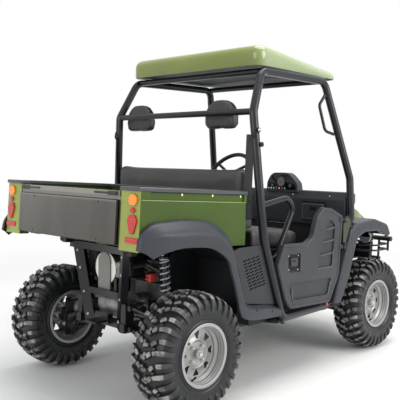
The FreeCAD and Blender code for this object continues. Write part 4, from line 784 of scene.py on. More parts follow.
# Every finish, by name
LOOKS = {
    "body_green": lambda n: paint(n, TINTS["body"], coat=0.5),
    "bed_green": lambda n: paint(n, TINTS["bed"], rough=0.3, coat=0.25, dust=0.08, shine=0.2),
    # painted highlight: paler green for the upward faces at the crease and the line along it
    "bed_edge": lambda n: paint(n, (0.24, 0.30, 0.09), rough=0.25, coat=0.5, dust=0.1),
    # painted reflection: paler green for the rear posts' rear faces
    "post_green": lambda n: paint(n, (0.26, 0.30, 0.055), rough=0.28, coat=0.4, dust=0.1),
    # the roof's paler sides are a painted reflection of the sky
    "roof_green": lambda n: sky_glare_paint(n, TINTS["roof"], (0.36, 0.43, 0.27)),
    "cowl_green": lambda n: paint(n, (0.020, 0.030, 0.008), rough=0.25, coat=0.4, dust=0.05),
    "vent_grey": lambda n: moulded(n, (0.021, 0.023, 0.027), rough=0.42, grain=520.0, depth=0.14,
                                   dust=0.1),
    "roof_under": lambda n: moulded(n, (0.026, 0.030, 0.034), rough=0.55, dust=0.05, shine=0.2),
    "body_grey": lambda n: moulded(n, TINTS["plastic"], rough=0.40, grain=520.0, depth=0.14,
                                   dust=0.18, dust_colour=(0.10, 0.105, 0.12)),
    "door_grey": lambda n: moulded(n, TINTS["door"], rough=0.44, grain=420.0, depth=0.25, dust=0.15,
                                   dust_colour=(0.10, 0.105, 0.12)),
    # painted shade for the bottom of the door's recesses
    "pocket_grey": lambda n: moulded(n, (0.030, 0.031, 0.034), rough=0.5, grain=300.0, depth=0.5,
                                     dust=0.1),
    # painted highlight: paler grey for the door's lips and ribs
    "edge_grey": lambda n: moulded(n, (0.08, 0.086, 0.10), rough=0.35, grain=420.0, depth=0.2,
                                   dust=0.1),
    "plastic_black": lambda n: moulded(n, (0.009, 0.010, 0.012), rough=0.45, dust=0.1, shine=0.25),
    "dash_grey": lambda n: moulded(n, (0.040, 0.046, 0.052), rough=0.42, dust=0.1),
    "dash_line": lambda n: moulded(n, (0.20, 0.21, 0.22), rough=0.45, dust=0.1),
    "frame_black": lambda n: paint(n, (0.007, 0.007, 0.009), rough=0.3, coat=0.2, vary=0.2,
                                   dust=0.08, shine=0.3),
    "cage_black": lambda n: paint(n, TINTS["cage"], rough=0.28, coat=0.25, vary=0.15, dust=0.04,
                                  shine=0.3),
    "gloss_black": lambda n: paint(n, (0.006, 0.006, 0.007), rough=0.18, coat=0.25, dust=0.03,
                                   shine=0.25),
    "seat_vinyl": lambda n: vinyl(n, TINTS["seat"], rough=0.38),
    "head_vinyl": lambda n: vinyl(n, (0.018, 0.017, 0.018)),
    "rail_dark": lambda n: paint(n, (0.050, 0.054, 0.062), rough=0.28, coat=0.4, dust=0.08),
    # the pale colour is the painted highlight under the tailgate's top edge
    "gate_bronze": lambda n: brushed_gate(n, TINTS["gate"], (0.30, 0.285, 0.25)),
    "latch_steel": lambda n: paint(n, (0.014, 0.014, 0.016), rough=0.3, coat=0.3, dust=0.05),
    "zinc": lambda n: plated(n, (0.62, 0.62, 0.60)),
    "gold": lambda n: plated(n, (0.75, 0.58, 0.22), rough=0.3),
    "cast_alloy": lambda n: cast(n, (0.26, 0.265, 0.275), rough=0.42),
    "bright_alloy": lambda n: cast(n, (0.62, 0.62, 0.63), rough=0.3, lumps=0.2),
    "hanger_grey": lambda n: paint(n, (0.17, 0.165, 0.155), rough=0.35, coat=0.2, dust=0.3),
    "cast_iron": lambda n: cast(n, (0.07, 0.07, 0.075), rough=0.42),
    "tyre_rubber": rubber,
    "boot_rubber": lambda n: moulded(n, (0.011, 0.011, 0.013), rough=0.42, dust=0.2),
    # black rubber of the valves, and painted shade in the doors' latch recesses
    "gasket": lambda n: moulded(n, (0.007, 0.007, 0.008), rough=0.5, dust=0.06, shine=0.2),
    "rim_silver": lambda n: paint(n, TINTS["rim"], rough=0.38, coat=0.25, peel=0.12, metal=0.45,
                                  dust=0.2),
    "spring_white": lambda n: paint(n, (0.36, 0.37, 0.41), rough=0.28, coat=0.5, dust=0.1),
    "muffler_cream": can_look,
    "lens_amber": lambda n: lens(n, (0.88, 0.25, 0.012), 0.12),
    "lens_red": lambda n: lens(n, (0.50, 0.012, 0.010), 0.03),
    "lens_clear": lambda n: lens(n, (0.42, 0.44, 0.46), 0.0, rough=0.06, ribs=90.0, along="Y"),
    "box_red": lambda n: paint(n, (0.42, 0.03, 0.025), rough=0.3, coat=0.4),
    "dial_green": lambda n: lens(n, (0.05, 0.75, 0.35), 0.8),
    "dial_white": lambda n: lens(n, (0.8, 0.85, 0.8), 0.5),
    "dial_red": lambda n: lens(n, (0.8, 0.10, 0.05), 0.4),
    "webbing": lambda n: webbing(n, (0.02, 0.02, 0.022)),
    "floor": floor_look,
}

# Finishes made so far
MADE = {}


def material(name):
    """The finish of that name, made when it is first asked for."""
    if name not in MADE:
        MADE[name] = LOOKS[name](name)
    return MADE[name]


# Stage


FLOOR_R = 14.0
PHOTO_PLACE = (-2516.0, -3119.1, 1327.8)
PHOTO_YAW, PHOTO_PITCH, PHOTO_ROLL = radians(44.76), radians(-0.58), radians(0.75)
PHOTO_SHIFT = (0.0095, -0.0868)
# name, place, aimed at, width in metres and share of the key power
STUDIO_LAMPS = (
    ("overhead", (0.5, -0.8, 5.5), (0.2, 0.0, 0.8), 5.0, 1.0),
    ("right_side", (1.8, -6.0, 3.2), (0.2, 0.0, 0.8), 4.0, 0.9),
    ("rear_fill", (-6.5, -0.5, 2.6), (0.0, 0.0, 0.7), 4.0, 0.42),
)


def floor_disc():
    """Round floor under the wheels."""
    c, s = circle(64)
    mesh = bpy.data.meshes.new("floor")
    mesh.from_pydata((np.stack([c, s, 0 * c], 1) * FLOOR_R).tolist(), [], [range(64)])
    mesh.materials.append(material("floor"))
    linked(bpy.data.objects.new("floor", mesh))


def background(strength):
    """Pale sky that lights the vehicle; the camera, gloss and glass see plain white instead."""
    world = bpy.data.worlds.new("studio")
    bpy.context.scene.world = world
    world.use_nodes = True
    tree = world.node_tree
    tree.nodes.clear()
    rays = tree.nodes.new("ShaderNodeLightPath").outputs
    seen = rays["Is Camera Ray"]
    for name in ("Is Glossy Ray", "Is Transmission Ray"):
        either = tree.nodes.new("ShaderNodeMath")
        either.operation = "MAXIMUM"
        tree.links.new(seen, either.inputs[0])
        tree.links.new(rays[name], either.inputs[1])
        seen = either.outputs[0]
    blend = tree.nodes.new("ShaderNodeMixShader")
    tree.links.new(seen, blend.inputs[0])
    skies = (((0.90, 0.95, 1.0, 1), strength), ((1, 1, 1, 1), 1.0))
    for socket, (colour, power) in zip(blend.inputs[1:], skies):
        sky = tree.nodes.new("ShaderNodeBackground")
        sky.inputs["Color"].default_value = colour
        sky.inputs["Strength"].default_value = power
        tree.links.new(sky.outputs[0], socket)
    out = tree.nodes.new("ShaderNodeOutputWorld")
    tree.links.new(blend.outputs[0], out.inputs["Surface"])


def studio_lamps(power):
    """Large round lamps above, on the right and behind."""
    for name, place, aim, width, share in STUDIO_LAMPS:
        light = bpy.data.lights.new(name, "AREA")
        light.shape = "DISK"
        light.size = width
        light.energy = power * share
        light.color = (1.0, 0.985, 0.96)
        lamp = linked(bpy.data.objects.new(name, light))
        lamp.location = place
        lamp.rotation_euler = (Vector(aim) - Vector(place)).to_track_quat("-Z", "Y").to_euler()


def photo_camera(focal_length):
    """Camera at the photograph's angle: turned by yaw, tipped by pitch, then rolled."""
    camera = bpy.data.cameras.new("photo_view")
    camera.sensor_width = 36.0
    camera.lens = focal_length
    camera.shift_x, camera.shift_y = PHOTO_SHIFT
    level = Vector((cos(PHOTO_YAW), sin(PHOTO_YAW), 0))
    ahead = level * cos(PHOTO_PITCH) + Vector((0, 0, sin(PHOTO_PITCH)))
    right = ahead.cross(Vector((0, 0, 1))).normalized()
    up = right.cross(ahead)
    c, s = cos(PHOTO_ROLL), sin(PHOTO_ROLL)
    turn = Matrix((right * c + up * s, up * c - right * s, -ahead)).transposed().to_4x4()
    viewer = linked(bpy.data.objects.new("photo_view", camera))
    viewer.matrix_world = Matrix.Translation(at(*PHOTO_PLACE)) @ turn
    bpy.context.scene.camera = viewer


def stage(settings):
    """Floor that fades to white, white background, soft lamps and the photograph's camera."""
    floor_disc()
    background(settings.sky_strength)
    studio_lamps(settings.key_power)
    photo_camera(settings.lens)
    bpy.context.scene.view_settings.view_transform = "Standard"


# Wheels


def tyre_profile(half, bead):
    """Carcass outline from the left bead over the crown to the right bead, as (across, radius)."""
    side = [
        (bead - 3, BEAD_R + 0.5), (bead - 2, LIP_R - 2), (bead + 3, LIP_R + 8), (half - 9, 184),
        (half - 4.5, 192),
        (half - 2.6, 206), (half - 1.2, 222), (half - 0.8, 240), (half - 3, 256), (half - 10, 271),
        (half - 24, 284), (half - 44, 292), (half - 66, 296.5), (half * 0.25, 299.0), (0, 299.6),
    ]
    left = [(-a, r) for a, r in side]
    return smooth_path(left + side[::-1][1:], 3)


def along_profile(profile):
    """Distance over the carcass from its middle, for each profile row."""
    run = np.concatenate([[0], np.cumsum(np.linalg.norm(np.diff(profile, axis=0), axis=1))])
    return run - run[-1] / 2


def tread_blocks(edge, lug):
    """Rows of (across, around, half width, height) down the middle of each block, for one pitch
    of one half."""
    k = edge / 150.0
    return (
        # long shoulder lug that turns down the wall
        [(66 * k, -6, 11, lug), (84 * k, 0, 12, lug), (104 * k, 3, 14, lug),
         (122 * k, 4, 15, lug * 0.9), (edge, 4, 15, lug * 0.62), (edge + 24, 4, 14, lug * 0.42),
         (edge + 44, 4, 12, 1.2)],
        # short shoulder lug between the long ones
        [(92 * k, 60, 11, lug), (108 * k, 63, 13, lug), (124 * k, 64, 14, lug * 0.85),
         (edge, 64, 14, lug * 0.6), (edge + 18, 64, 13, lug * 0.4), (edge + 30, 64, 11, 1.2)],
        # slanted block beside the middle
        [(26 * k, -26, 10, lug), (38 * k, -15, 12, lug), (50 * k, -7, 11, lug)],
        # block between the shoulder lugs, bent towards the middle
        [(48 * k, 34, 9, lug), (60 * k, 46, 11, lug), (74 * k, 54, 10, lug)],
        # middle block across the crown
        [(-13 * k, 22, 9, lug), (2 * k, 30, 11, lug), (20 * k, 30, 9, lug)],
        # small knob of the middle
        [(3 * k, -22, 8, lug), (13 * k, -12, 9, lug)],
        # hook that joins the shoulder to the slanted block
        [(60 * k, 14, 7, lug * 0.7), (72 * k, 22, 7, lug * 0.7)],
    )


def tyre(name, centre, half, bead, side, pitches, lug, body):
    """Carcass and tread. A block is a rounded bar whose section (across its run, height) follows
    its rows; its point lies at distance s across the carcass and t around it, lifted along the
    carcass's normal. The carcass is narrowed so that its side lugs end at half."""
    half -= lug * 0.42
    profile = tyre_profile(half, bead)
    form = Form()
    form.ring(profile, centre, 96, side, closed=False)
    for radius, size in ((200, 1.6), (208, 1.0)):
        lip = np.interp(radius, [192, 206, 222, 240],
                        [half - 4.5, half - 2.6, half - 1.2, half - 0.8])
        for way in (-1, 1):
            foot, crest = way * (lip - 1.5), way * (lip + size * 0.8)
            ridge = [(foot, radius - size * 2), (crest, radius - size * 0.8),
                     (crest, radius + size * 0.8), (foot, radius + size * 2)]
            form.ring(ridge, centre, 96, side, closed=False)
    distance = along_profile(profile)
    slope = np.gradient(profile, axis=0)
    normal = unit(np.stack([-slope[:, 1], slope[:, 0]], 1))

    def spot(s, t, lift):
        """Point over the carcass at s across it, t around it and lift above it."""
        a, r, na, nr = (np.interp(s, distance, column) for column in (*profile.T, *normal.T))
        a, r = a + na * lift, r + nr * lift
        angle = t / TYRE_R
        return np.stack([centre[0] + r * np.sin(angle), centre[1] + side * a,
                         centre[2] + r * np.cos(angle)], -1)

    crown = len(profile) // 2
    edge = float(np.interp(-SHOULDER_R, -profile[crown:, 1], distance[crown:]))
    pitch = 2 * pi * TYRE_R / pitches
    root = -1.5
    for hand in (-1, 1):
        start = (np.arange(pitches) + (0.5 if hand > 0 else 0.0))[:, None, None] * pitch
        for block in tread_blocks(edge, lug):
            s, t, w, h = smooth_path(block, 3).T
            run = unit(np.gradient(np.stack([s, t], 1), axis=0))
            foot = run[[0, -1]] * [[-3.5], [3.5]]
            s = np.concatenate([[s[0] + foot[0, 0]], s, [s[-1] + foot[1, 0]]])
            t = np.concatenate([[t[0] + foot[0, 1]], t, [t[-1] + foot[1, 1]]])
            w, h, run = (np.concatenate([v[:1], v, v[-1:]]) for v in (w, h, run))
            taper = 1.4 + 0.12 * h
            across = np.stack([-w - taper, -w, -w + 1.8, w - 1.8, w, w + taper], 1)
            lift = np.stack([h * 0 + root, h - 1.4, h, h, h - 1.4, h * 0 + root], 1)
            lift[[0, -1]] = root
            # how much pale film each point gets, dust and painted highlight: full on the lug tops,
            # less down the sides
            top = np.where(h > lug * 0.85, 1.0, h / lug * 0.5)
            worn = np.stack([top * 0, top * 0.35, top, top, top * 0.35, top * 0], 1)
            worn[[0, -1]] = 0
            rows = spot(hand * (s[:, None] - run[:, 1:] * across),
                        start + (t[:, None] + run[:, :1] * across)[None],
                        np.broadcast_to(lift, (pitches,) + lift.shape))
            form.many(rows, np.tile(worn.reshape(-1), pitches))
    form.make("dressed_" + name, ["tyre_rubber"], body, "tyre", [name], sharp=38.0, weld=0.001)


def lobed(profile, centre, side, lobes):
    """Rows of (along Y, radius, lobe) about a line along Y: the radius grows by lobe times a
    rounded wave."""
    along, radius, lobe = np.asarray(profile, float).T
    angle = np.linspace(0, 2 * pi, 120, endpoint=False)[:, None]
    radius = radius + lobe * np.sqrt(np.maximum(0.0, np.cos(angle * lobes)))
    rows = np.stack([centre[0] + radius * np.sin(angle), centre[1] + side * along + 0 * angle,
                     centre[2] + radius * np.cos(angle)], -1)
    return rows.transpose(1, 0, 2)


def barrel(half):
    """Section of a rim's barrel: its outside from lip to lip, then its inside back again."""
    t, well = RIM_WALL, WELL_R
    return [
        (-half, LIP_R - 2), (-half + 1, LIP_R), (-half + t, LIP_R - 1), (-half + t + 1, BEAD_R + 2),
        (-half + t + 4, BEAD_R), (-half + 36, BEAD_R), (-half + 50, well), (half - 62, well),
        (half - 50, BEAD_R), (half - t - 4, BEAD_R), (half - t - 1, BEAD_R + 2),
        (half - t, LIP_R - 1),
        (half - 1, LIP_R), (half, LIP_R - 2), (half, BEAD_R + 2), (half - 2, BEAD_R - 3),
        (half - 8, BEAD_R - t), (half - 17, BEAD_R - t), (half - 19, BEAD_R - t - 2.5),
        (half - 30, BEAD_R - t - 2.5), (half - 32, BEAD_R - t - 5), (half - 46, BEAD_R - t - 5),
        (half - 58, well - t), (-half + 52, well - t), (-half + 38, BEAD_R - t - 4),
        (-half + 20, BEAD_R - t), (-half + 3, BEAD_R - t), (-half, BEAD_R - 2),
    ]


def rim_disc(name, centre, face, side, body):
    """Pressed disc of a rim, turned from one profile, with eight windows cut through it."""
    front = [(face - 6, 26), (face - 5, 40), (face - 6, 58), (face - 2, 64), (face + 5, 69),
             (face + 7, 73), (face + 5, 77), (face - 1, 84), (face - 4, 100), (face - 5, 116),
             (face - 3, 121), (face - 3, WELL_R - RIM_WALL + 0.6)]
    back = [(a - 5, r) for a, r in front]
    disc = Form()
    disc.ring(front + back[::-1], centre, 96, side)
    plate = disc.make(name + "_disc", ["rim_silver"], body, "rim")
    outline = [(-20, 116), (20, 116), (20, 110), (4, 79), (-4, 79), (-20, 110)]
    v, r = rounded(outline, 4.0, 3, closed=True).T
    cutter = Form()
    for a in np.arange(8) * pi / 4:
        rows = [np.stack([centre[0] + v * cos(a) + r * sin(a), 0 * v + centre[1] + side * depth,
                          centre[2] - v * sin(a) + r * cos(a)], 1) for depth in (face - 30,
                                                                                 face + 30)]
        cutter.grid(rows, wrap=True, ends=True)
    carve(plate, cutter.make(name + "_cutter", ["rim_silver"], body, "rim"))
    eased(plate, 1.2, 2, 50)


def rim(name, centre, half, side, stub_y, drum_y, body):
    """Pressed steel rim with its disc, nuts, hub, stub axle, valve and, behind, a lobed drum."""
    form = Form()
    form.ring(barrel(half), centre, 96, side)
    face = half - DISC_INSET
    rim_disc("dressed_" + name, centre, face, side, body)
    x, y, z = centre
    way = np.array([0, side, 0])
    hub = np.array([x, y + side * (face - 8), z])
    for a in (np.arange(4) + 0.5) * pi / 2:
        nut = hub + way * 2 + np.array([50 * sin(a), 0, 50 * cos(a)])
        form.turned(nut, way, [(-2, 11), (2, 11), (3, 9.5)], 20, 0)
        form.turned(nut, way, [(2, 8.6), (13, 8.6), (15, 7.4)], 6, 1)
        form.turned(nut, way, [(12, 4.6), (21, 4.6), (22, 3.8)], 12, 1)
    form.turned(hub, way, [(-20, 33), (2, 33), (6, 30), (7, 26), (30, 25), (33, 23), (34, 18)], 32,
                0)
    form.turned(hub + way * 32, way, [(0, 12.5), (8, 12.5), (9.5, 11)], 6, 1)
    form.turned(hub + way * 32, way, [(8, 6.5), (9.6, 6.0)], 12, 1)
    form.turned((x, side * stub_y, z), way, [(0, 15), (abs(y) + face - stub_y, 15)], 24, 1)
    if drum_y:
        near = drum_y - abs(y)
        drum = [(near, 20, 0), (near, 34, 2), (near + 3, 36, 4), (near + 5, 50, 8),
                (near + 8, 56, 20),
                (near + 24, 56, 21), (near + 26, 54, 16), (face - 18, 54, 14), (face - 14, 56, 20),
                (face - 11, 56, 20)]
        form.grid(lobed(drum, centre, side, 6), wrap=True, ends=True, kind=3)
        for a in np.arange(6) * pi / 3:
            spot = (x + 62 * sin(a), side * (drum_y + 8), z + 62 * cos(a))
            form.turned(spot, -way, [(-2, 9), (2.5, 9), (4, 7.5)], 6, 1)
    a = radians(205 if side < 0 else 80)
    turn = np.array([sin(a), 0, cos(a)])
    foot = np.array([x, y + side * (half - 40), z]) + turn * (BEAD_R - RIM_WALL - 4)
    valve = [(-3, 8), (4, 7.5), (8, 5), (24, 4.2), (25, 5.2), (36, 5.2), (37, 4.2)]
    form.turned(foot, way * 20 - turn * 26, valve, 14, 2)
    form.make("dressed_" + name, ["rim_silver", "zinc", "gasket", "bright_alloy"], body, "rim",
              [name], sharp=28.0)


def wheels(settings):
    """Builds the four tyres and rims."""
    # name, axle x, tyre centre y, tyre half width, rim half width, inner ends of stub and drum
    rows = (("rear", 0.0, 583.0, 133.0, 125.0, 487.5, 546.5),
            ("front", WHEELBASE, 556.0, 107.0, 85.0, 504.5, 0.0))
    lug = settings.lug_height * 1000
    for end, x, y, half, rim_half, stub_y, drum_y in rows:
        for label, side in SIDES:
            centre = (x, side * y, TYRE_R)
            body = f"wheel_{end}_{label}"
            tyre(f"tyre_{end}_{label}", centre, half, rim_half - RIM_WALL, side,
                 settings.tread_pitches, lug, body)
            rim(f"rim_{end}_{label}", centre, rim_half, side, stub_y, drum_y, body)


# Chassis


def spring_unit(form, top, bottom, turns):
    """Damper, coil and eyes between two points; the coil is a helix whose ends lie flat on its
    cups."""
    top, bottom = np.array(top, float), np.array(bottom, float)
    run = unit(bottom - top)
    length = np.linalg.norm(bottom - top)
    waist = length * 0.52
    for profile in (
            [(10, 18), (14, 30), (20, 31), (22, 29), (24, 18), (waist, 17), (waist + 1, 8.5),
             (length - 60, 8.5)],
            [(length - 62, 20), (length - 60, 30), (length - 55, 31), (length - 52, 29),
             (length - 50, 18), (length - 16, 18), (length - 12, 12)],
            [(waist - 6, 19.5), (waist + 2, 19.5)]):
        form.turned(top, run, profile, 24, 1)
    side = unit(np.cross(run, (1, 0, 0)))
    up = np.cross(run, side)
    wire, coil_r = 4.6, 24.9
    f = np.linspace(0, 1, int(turns * 18) + 1)
    low, high = 22 + wire, length - 63
    along = low + (high - low) * np.clip((f * turns - 0.7) / (turns - 1.4), 0, 1)
    a = 2 * pi * turns * f
    around = side * np.cos(a)[:, None] + up * np.sin(a)[:, None]
    form.tube(top + run * along[:, None] + around * coil_r, wire, steps=9, kind=0)
    for point in (top, bottom):
        form.turned(point - [16, 0, 0], (1, 0, 0), [(0, 9), (2, 15), (30, 15), (32, 9)], 20, 1)
        form.bolt(point + [15.5, 0, 0], (1, 0, 0), 10, 7, 2)
        form.bolt(point - [15.5, 0, 0], (-1, 0, 0), 10, 7, 2)


def shocks(turns):
    """Coil-over dampers of the four wheels."""
    form = Form()
    for side in (-1, 1):
        spring_unit(form, (20, side * 366, 800), (30, side * 380, 475.6), turns)
        spring_unit(form, (WHEELBASE, side * 318, 770), (WHEELBASE, side * 380, 448), turns)
    form.make("dressed_shocks", ["spring_white", "frame_black", "zinc"], "chassis", "shocks",
              ["shocks"])


def boots():
    """Half shafts with joint cups and ribbed rubber boots; a boot is turned about the sloping
    shaft's line."""
    form = Form()
    # axle x, inner and outer ends y, inner and outer z, cup radius
    rows = ((0.0, 178.3, 484.7, 478.0, TYRE_R, 34.0),
            (WHEELBASE, 79.3, 441.0, TYRE_R, TYRE_R, 30.0))
    for x, y0, y1, z0, z1, cup in rows:
        for side in (-1, 1):
            inner = np.array([x, side * (y0 + 20), z0])
            outer = np.array([x, side * (y1 - 20), z1])
            run = unit(outer - inner)
            form.turned(inner, run, [(0, 13), (np.linalg.norm(outer - inner), 13)], 20, 0)
            for centre, end, way in ((inner, y0, 1), (outer, y1, -1)):
                joint = [(0, cup - 4), (1, cup), (26, cup), (30, cup - 3)]
                form.turned((x, side * end, centre[2]), (0, side * way, 0), joint, 28, 1)
                fold = np.arange(6)
                big = cup - 3 - fold * (cup - 19) / 6.2
                folds = np.stack([4 + fold * 8.6, big, 8.5 + fold * 8.6, big - 5], 1).reshape(-1, 2)
                boot = [(2, cup - 4), *folds, (58, 15.5), (64, 15.5), (65, 13)]
                small_clamp = [(57, 15), (57.5, 16.6), (62.5, 16.6), (63, 15)]
                big_clamp = [(6, cup - 5), (6.5, cup - 1.6), (11, cup - 1.6), (11.5, cup - 5)]
                for profile, kind in ((boot, 2), (small_clamp, 3), (big_clamp, 3)):
                    form.turned(centre, run * way, profile, 28, kind)
    a = np.linspace(0, pi, 15)
    ball = np.stack([32.6 * -np.cos(a), np.maximum(0.3, 32.6 * np.sin(a))], 1)
    for side in (-1, 1):
        form.turned((WHEELBASE, side * 465, TYRE_R), (0, side, 0), ball, 28, 1)
    form.make("dressed_axle_shafts", ["frame_black", "cast_iron", "boot_rubber", "zinc"],
              "chassis", "shafts", ["axle_shafts"])


def chassis(settings):
    """Frame, guard, steering, hinges, floor and liners; the muffler's hanger plate is bare grey."""
    bevel = settings.bevel * 1000
    dress((("frame", "frame_black", "frame", bevel),
           ("front_subframe", "frame_black", "frame", bevel),
           ("front_guard", "frame_black", "frame", 0.0),
           ("steering_rack", "frame_black", "frame", 0.0),
           ("steering_column", "plastic_black", "frame", 0.0),
           ("door_hinges", "gloss_black", "frame", 0.0),
           ("controls", "plastic_black", "frame", 0.0),
           ("floor_pan", "plastic_black", "plastic", 1.5),
           ("wheel_liners", "plastic_black", "plastic", 0.0),
           ("front_panel", "plastic_black", "plastic", 2.0)))

    def finish(centres, normals):
        """Grey on the hanger plate in front of the muffler."""
        x, y, z = centres.T
        return np.where((x > -99) & (x < -87) & (y > -40) & (y < 70) & (z > 562), 1, 0)

    refined("rear_subframe", "frame_black", "frame", bevel, pick=finish, looks=("hanger_grey",))


def rear_details(settings):
    """Red box on its bracket, finned regulator, bolts of the rear legs, and the reflectors and
    feet under the sills."""
    form = Form()
    form.block((-42, -318, 642), (14, -280, 690), 5.0, 0)
    form.block((-38, -312, 690), (10, -284, 697), 3.0, 1)
    form.block((-108, -281, 660), (8, -190, 668), 2.0, 1)
    for z in (650, 668, 686):
        form.block((-44, -314, z - 2), (-41.5, -284, z + 3), 1.0, 1)
    for side in (-1, 1):
        # share of the way down the leg and size of the bolt
        for f, size in ((0.10, 9.0), (0.32, 9.0), (0.62, 8.0), (0.90, 10.0)):
            place = (-151 + 40 * f, side * (216 - 80 * f), 826 - 464 * f)
            form.bolt(place, (-1, 0, 0.08), size, 6, 2)
        form.block((1172, side * 636, 394), (1190, side * 652, 416), 2.0, 0)
        form.turned((700, side * 655, 396), (0, side * 0.3, -1), [(0, 12), (34, 12), (38, 9)], 18,
                    1)
    corner = np.array([-70.0, -118.0, 640.0])
    form.block(corner, corner + [60, 52, 96], 4.0, 3)
    for y in np.arange(8) * 6.2:
        form.block(corner + [-12, 3 + y, 6], corner + [2, 5.6 + y, 90], 0.8, 3)
    form.block((-100, -100, 556), (-30, -78, 642), 3.0, 1)
    form.make("rear_details", ["box_red", "frame_black", "zinc", "bright_alloy"], "chassis",
              "castings", sharp=40.0)


def drivetrain(settings):
    """Engine, gearboxes, muffler and half shafts."""
    dress((("engine", "cast_alloy", "engine", 2.0), ("gearboxes", "cast_alloy", "engine", 2.0),
           ("muffler", "muffler_cream", "muffler", 0.0)))
    boots()


def suspension(settings):
    """Arms, knuckles, tie rods and coil-over dampers."""
    dress((("suspension_arms", "frame_black", "frame", 0.0),
           ("rear_knuckles", "cast_iron", "castings", 1.5),
           ("front_knuckle_left", "cast_iron", "castings", 1.5),
           ("front_knuckle_right", "cast_iron", "castings", 1.5),
           ("tie_rods", "frame_black", "castings", 0.0)))
    shocks(settings.spring_turns)


# Bodywork


def roof_ring(inset):
    """The roof's rounded plan outline, drawn in by inset."""
    x0, x1 = ROOF_REAR_X + inset, ROOF_FRONT_X - inset
    y0, y1 = ROOF_REAR_HALF_W - inset, ROOF_FRONT_HALF_W - inset
    return rounded([(x0, -y0), (x0, y0), (x1, y1), (x1, -y1)], max(70.0 - inset, 12.0), 9,
                   closed=True)


def roof_top(x, y):
    """Height of the roof's top over x, lower towards the sides."""
    top = np.interp(x, [560, 620, 800, 1000, 1180, 1380, 1476],
                    [2010, 2015, 2016, 2014, 1998, 1956, 1916])
    half = np.interp(x, [560, 1476], [580, 507])
    return top - 13 * (np.abs(y) / half) ** 2.2


def roof_lip(x):
    """Height of the roof's lower rim."""
    return np.interp(x, [560, 1000, 1476], [1880, 1877, 1875])


def roof(settings):
    """Roof shell: outlines drawn in from the plan by the edge's rounding, lifted by a quarter
    circle, then blended to the centre line under a crown that falls with the square of the
    distance from it; a lining closes it below."""
    outer = roof_ring(0.0)
    base = roof_lip(outer[:, 0])
    rows = [np.column_stack([roof_ring(inset), base + lift]) for inset,
            lift in ((9, 14), (7, 2), (3, 0), (0, 3))]
    reach = np.minimum(48.0, (roof_top(*outer.T) - base) * 0.8)
    for a in np.linspace(0, pi / 2, 9):
        place = roof_ring(46.0 * (1 - cos(a)))
        rows.append(np.column_stack([place, roof_top(*place.T) - reach * (1 - sin(a))]))

    def to_spine(edge, shares, height):
        """Rows from an edge towards the centre line; height gives z from x, y and the share."""
        spine = np.column_stack([np.clip(edge[:, 0], 700, 1340), 0 * edge[:, 0]])
        places = [edge * (1 - t) + spine * t for t in shares]
        return [np.column_stack([place, height(*place.T, t)]) for place, t in zip(places, shares)]

    rows += to_spine(roof_ring(46.0), (0.08, 0.2, 0.35, 0.5, 0.65, 0.8, 0.92, 1.0), lambda x, y,
                     t: roof_top(x, y))
    form = Form()
    form.grid(rows, wrap=True, kind=0)
    inner = [np.column_stack([roof_ring(inset), base + lift]) for inset,
             lift in ((9, 14), (30, 8), (60, 12))]
    inner += to_spine(roof_ring(60.0), (0.2, 0.4, 0.6, 0.8, 1.0), lambda x, y,
                      t: roof_lip(x) + 12 + 10 * t)
    form.grid(inner, wrap=True, kind=1)
    for x in (640, 1400):
        for y in (-420, 420):
            form.screw((x, y, 1889), (0, 0, -1), 9.0, 2)
    form.make("dressed_roof", ["roof_green", "roof_under", "gloss_black"], "chassis", "green",
              ["roof"], sharp=50.0, weld=0.2)


# Stations of the flare round the rear wheel: ridge x, z; crease x, z; lower edge x, z
FLARE_STATIONS = (
    (-401, 880, -372, 868, -332, 838), (-380, 950, -348, 902, -318, 846),
    (-312, 1003, -290, 946, -250, 868), (-200, 1013, -194, 954, -160, 878),
    (-92, 1015, -94, 956, -82, 876), (20, 1006, 6, 948, 10, 868), (110, 988, 92, 930, 76, 852),
    (200, 936, 168, 884, 148, 812), (248, 884, 214, 836, 188, 774), (276, 790, 242, 772, 206, 722),
    (306, 693, 272, 690, 235, 650), (330, 612, 300, 600, 262, 560), (364, 540, 334, 514, 296, 470),
    (430, 508, 420, 488, 392, 434), (560, 494, 556, 474, 540, 424), (646, 470, 645, 456, 644, 420),
)


def flares():
    """Rear flares: at each station a flat strip by the bed, a rounded ridge, a sloping face, a
    rounded crease, the side and a lip turned in, carried smoothly round the wheel; the tail is
    narrowed in plan."""
    rows = smooth_path(FLARE_STATIONS, 5)
    rows[:, 1] = np.minimum(rows[:, 1], 1015.5)
    flat = 0 * rows[:, 0]
    # column of the stations and distance from the middle
    lines = ((0, 621), (0, 645), (2, 702), (4, 700.5))
    inner, ridge, crease, lower = (np.stack([rows[:, k], flat + y, rows[:, k + 1]], 1) for k,
                                   y in lines)
    lip = lower + [0, -16, 0]
    side_face = crease * 0.45 + lower * 0.55 + [0, -1.2, 0]
    skin = [inner[None], turn_between(inner, ridge, crease, 0.7, 0.22, 5),
            turn_between(ridge, crease, lower, 0.42, 0.30, 6), side_face[None],
            turn_between(crease, lower, lip, 0.10, 0.35, 3), lip[None]]
    skin = np.concatenate(skin).transpose(1, 0, 2)
    x, y = skin[:, :, 0], skin[:, :, 1]
    limit = np.interp(x, [-402, -372, -330, -280, -235, -170], [646, 660, 676, 690, 698, 702])
    inward = np.interp(x, [-402, -330, -235], [26, 12, 0]) * smooth_step(y, 640, 700)
    skin[:, :, 1] = np.minimum(y - inward, limit - 0.3)
    skin[:, :, 0] = np.clip(x, -400.5, 647.5)
    form = Form()
    form.grid(walled(skin, 5.0), wrap=True, ends=True)
    for x, z in ((420, 486), (560, 462)):
        form.screw((x, 701, z), (0, 1, 0), 6.5, 1)
    form.mirror()
    form.make("dressed_rear_flares", ["body_grey", "gloss_black"], "chassis", "grey",
              ["rear_flares"], sharp=50.0)


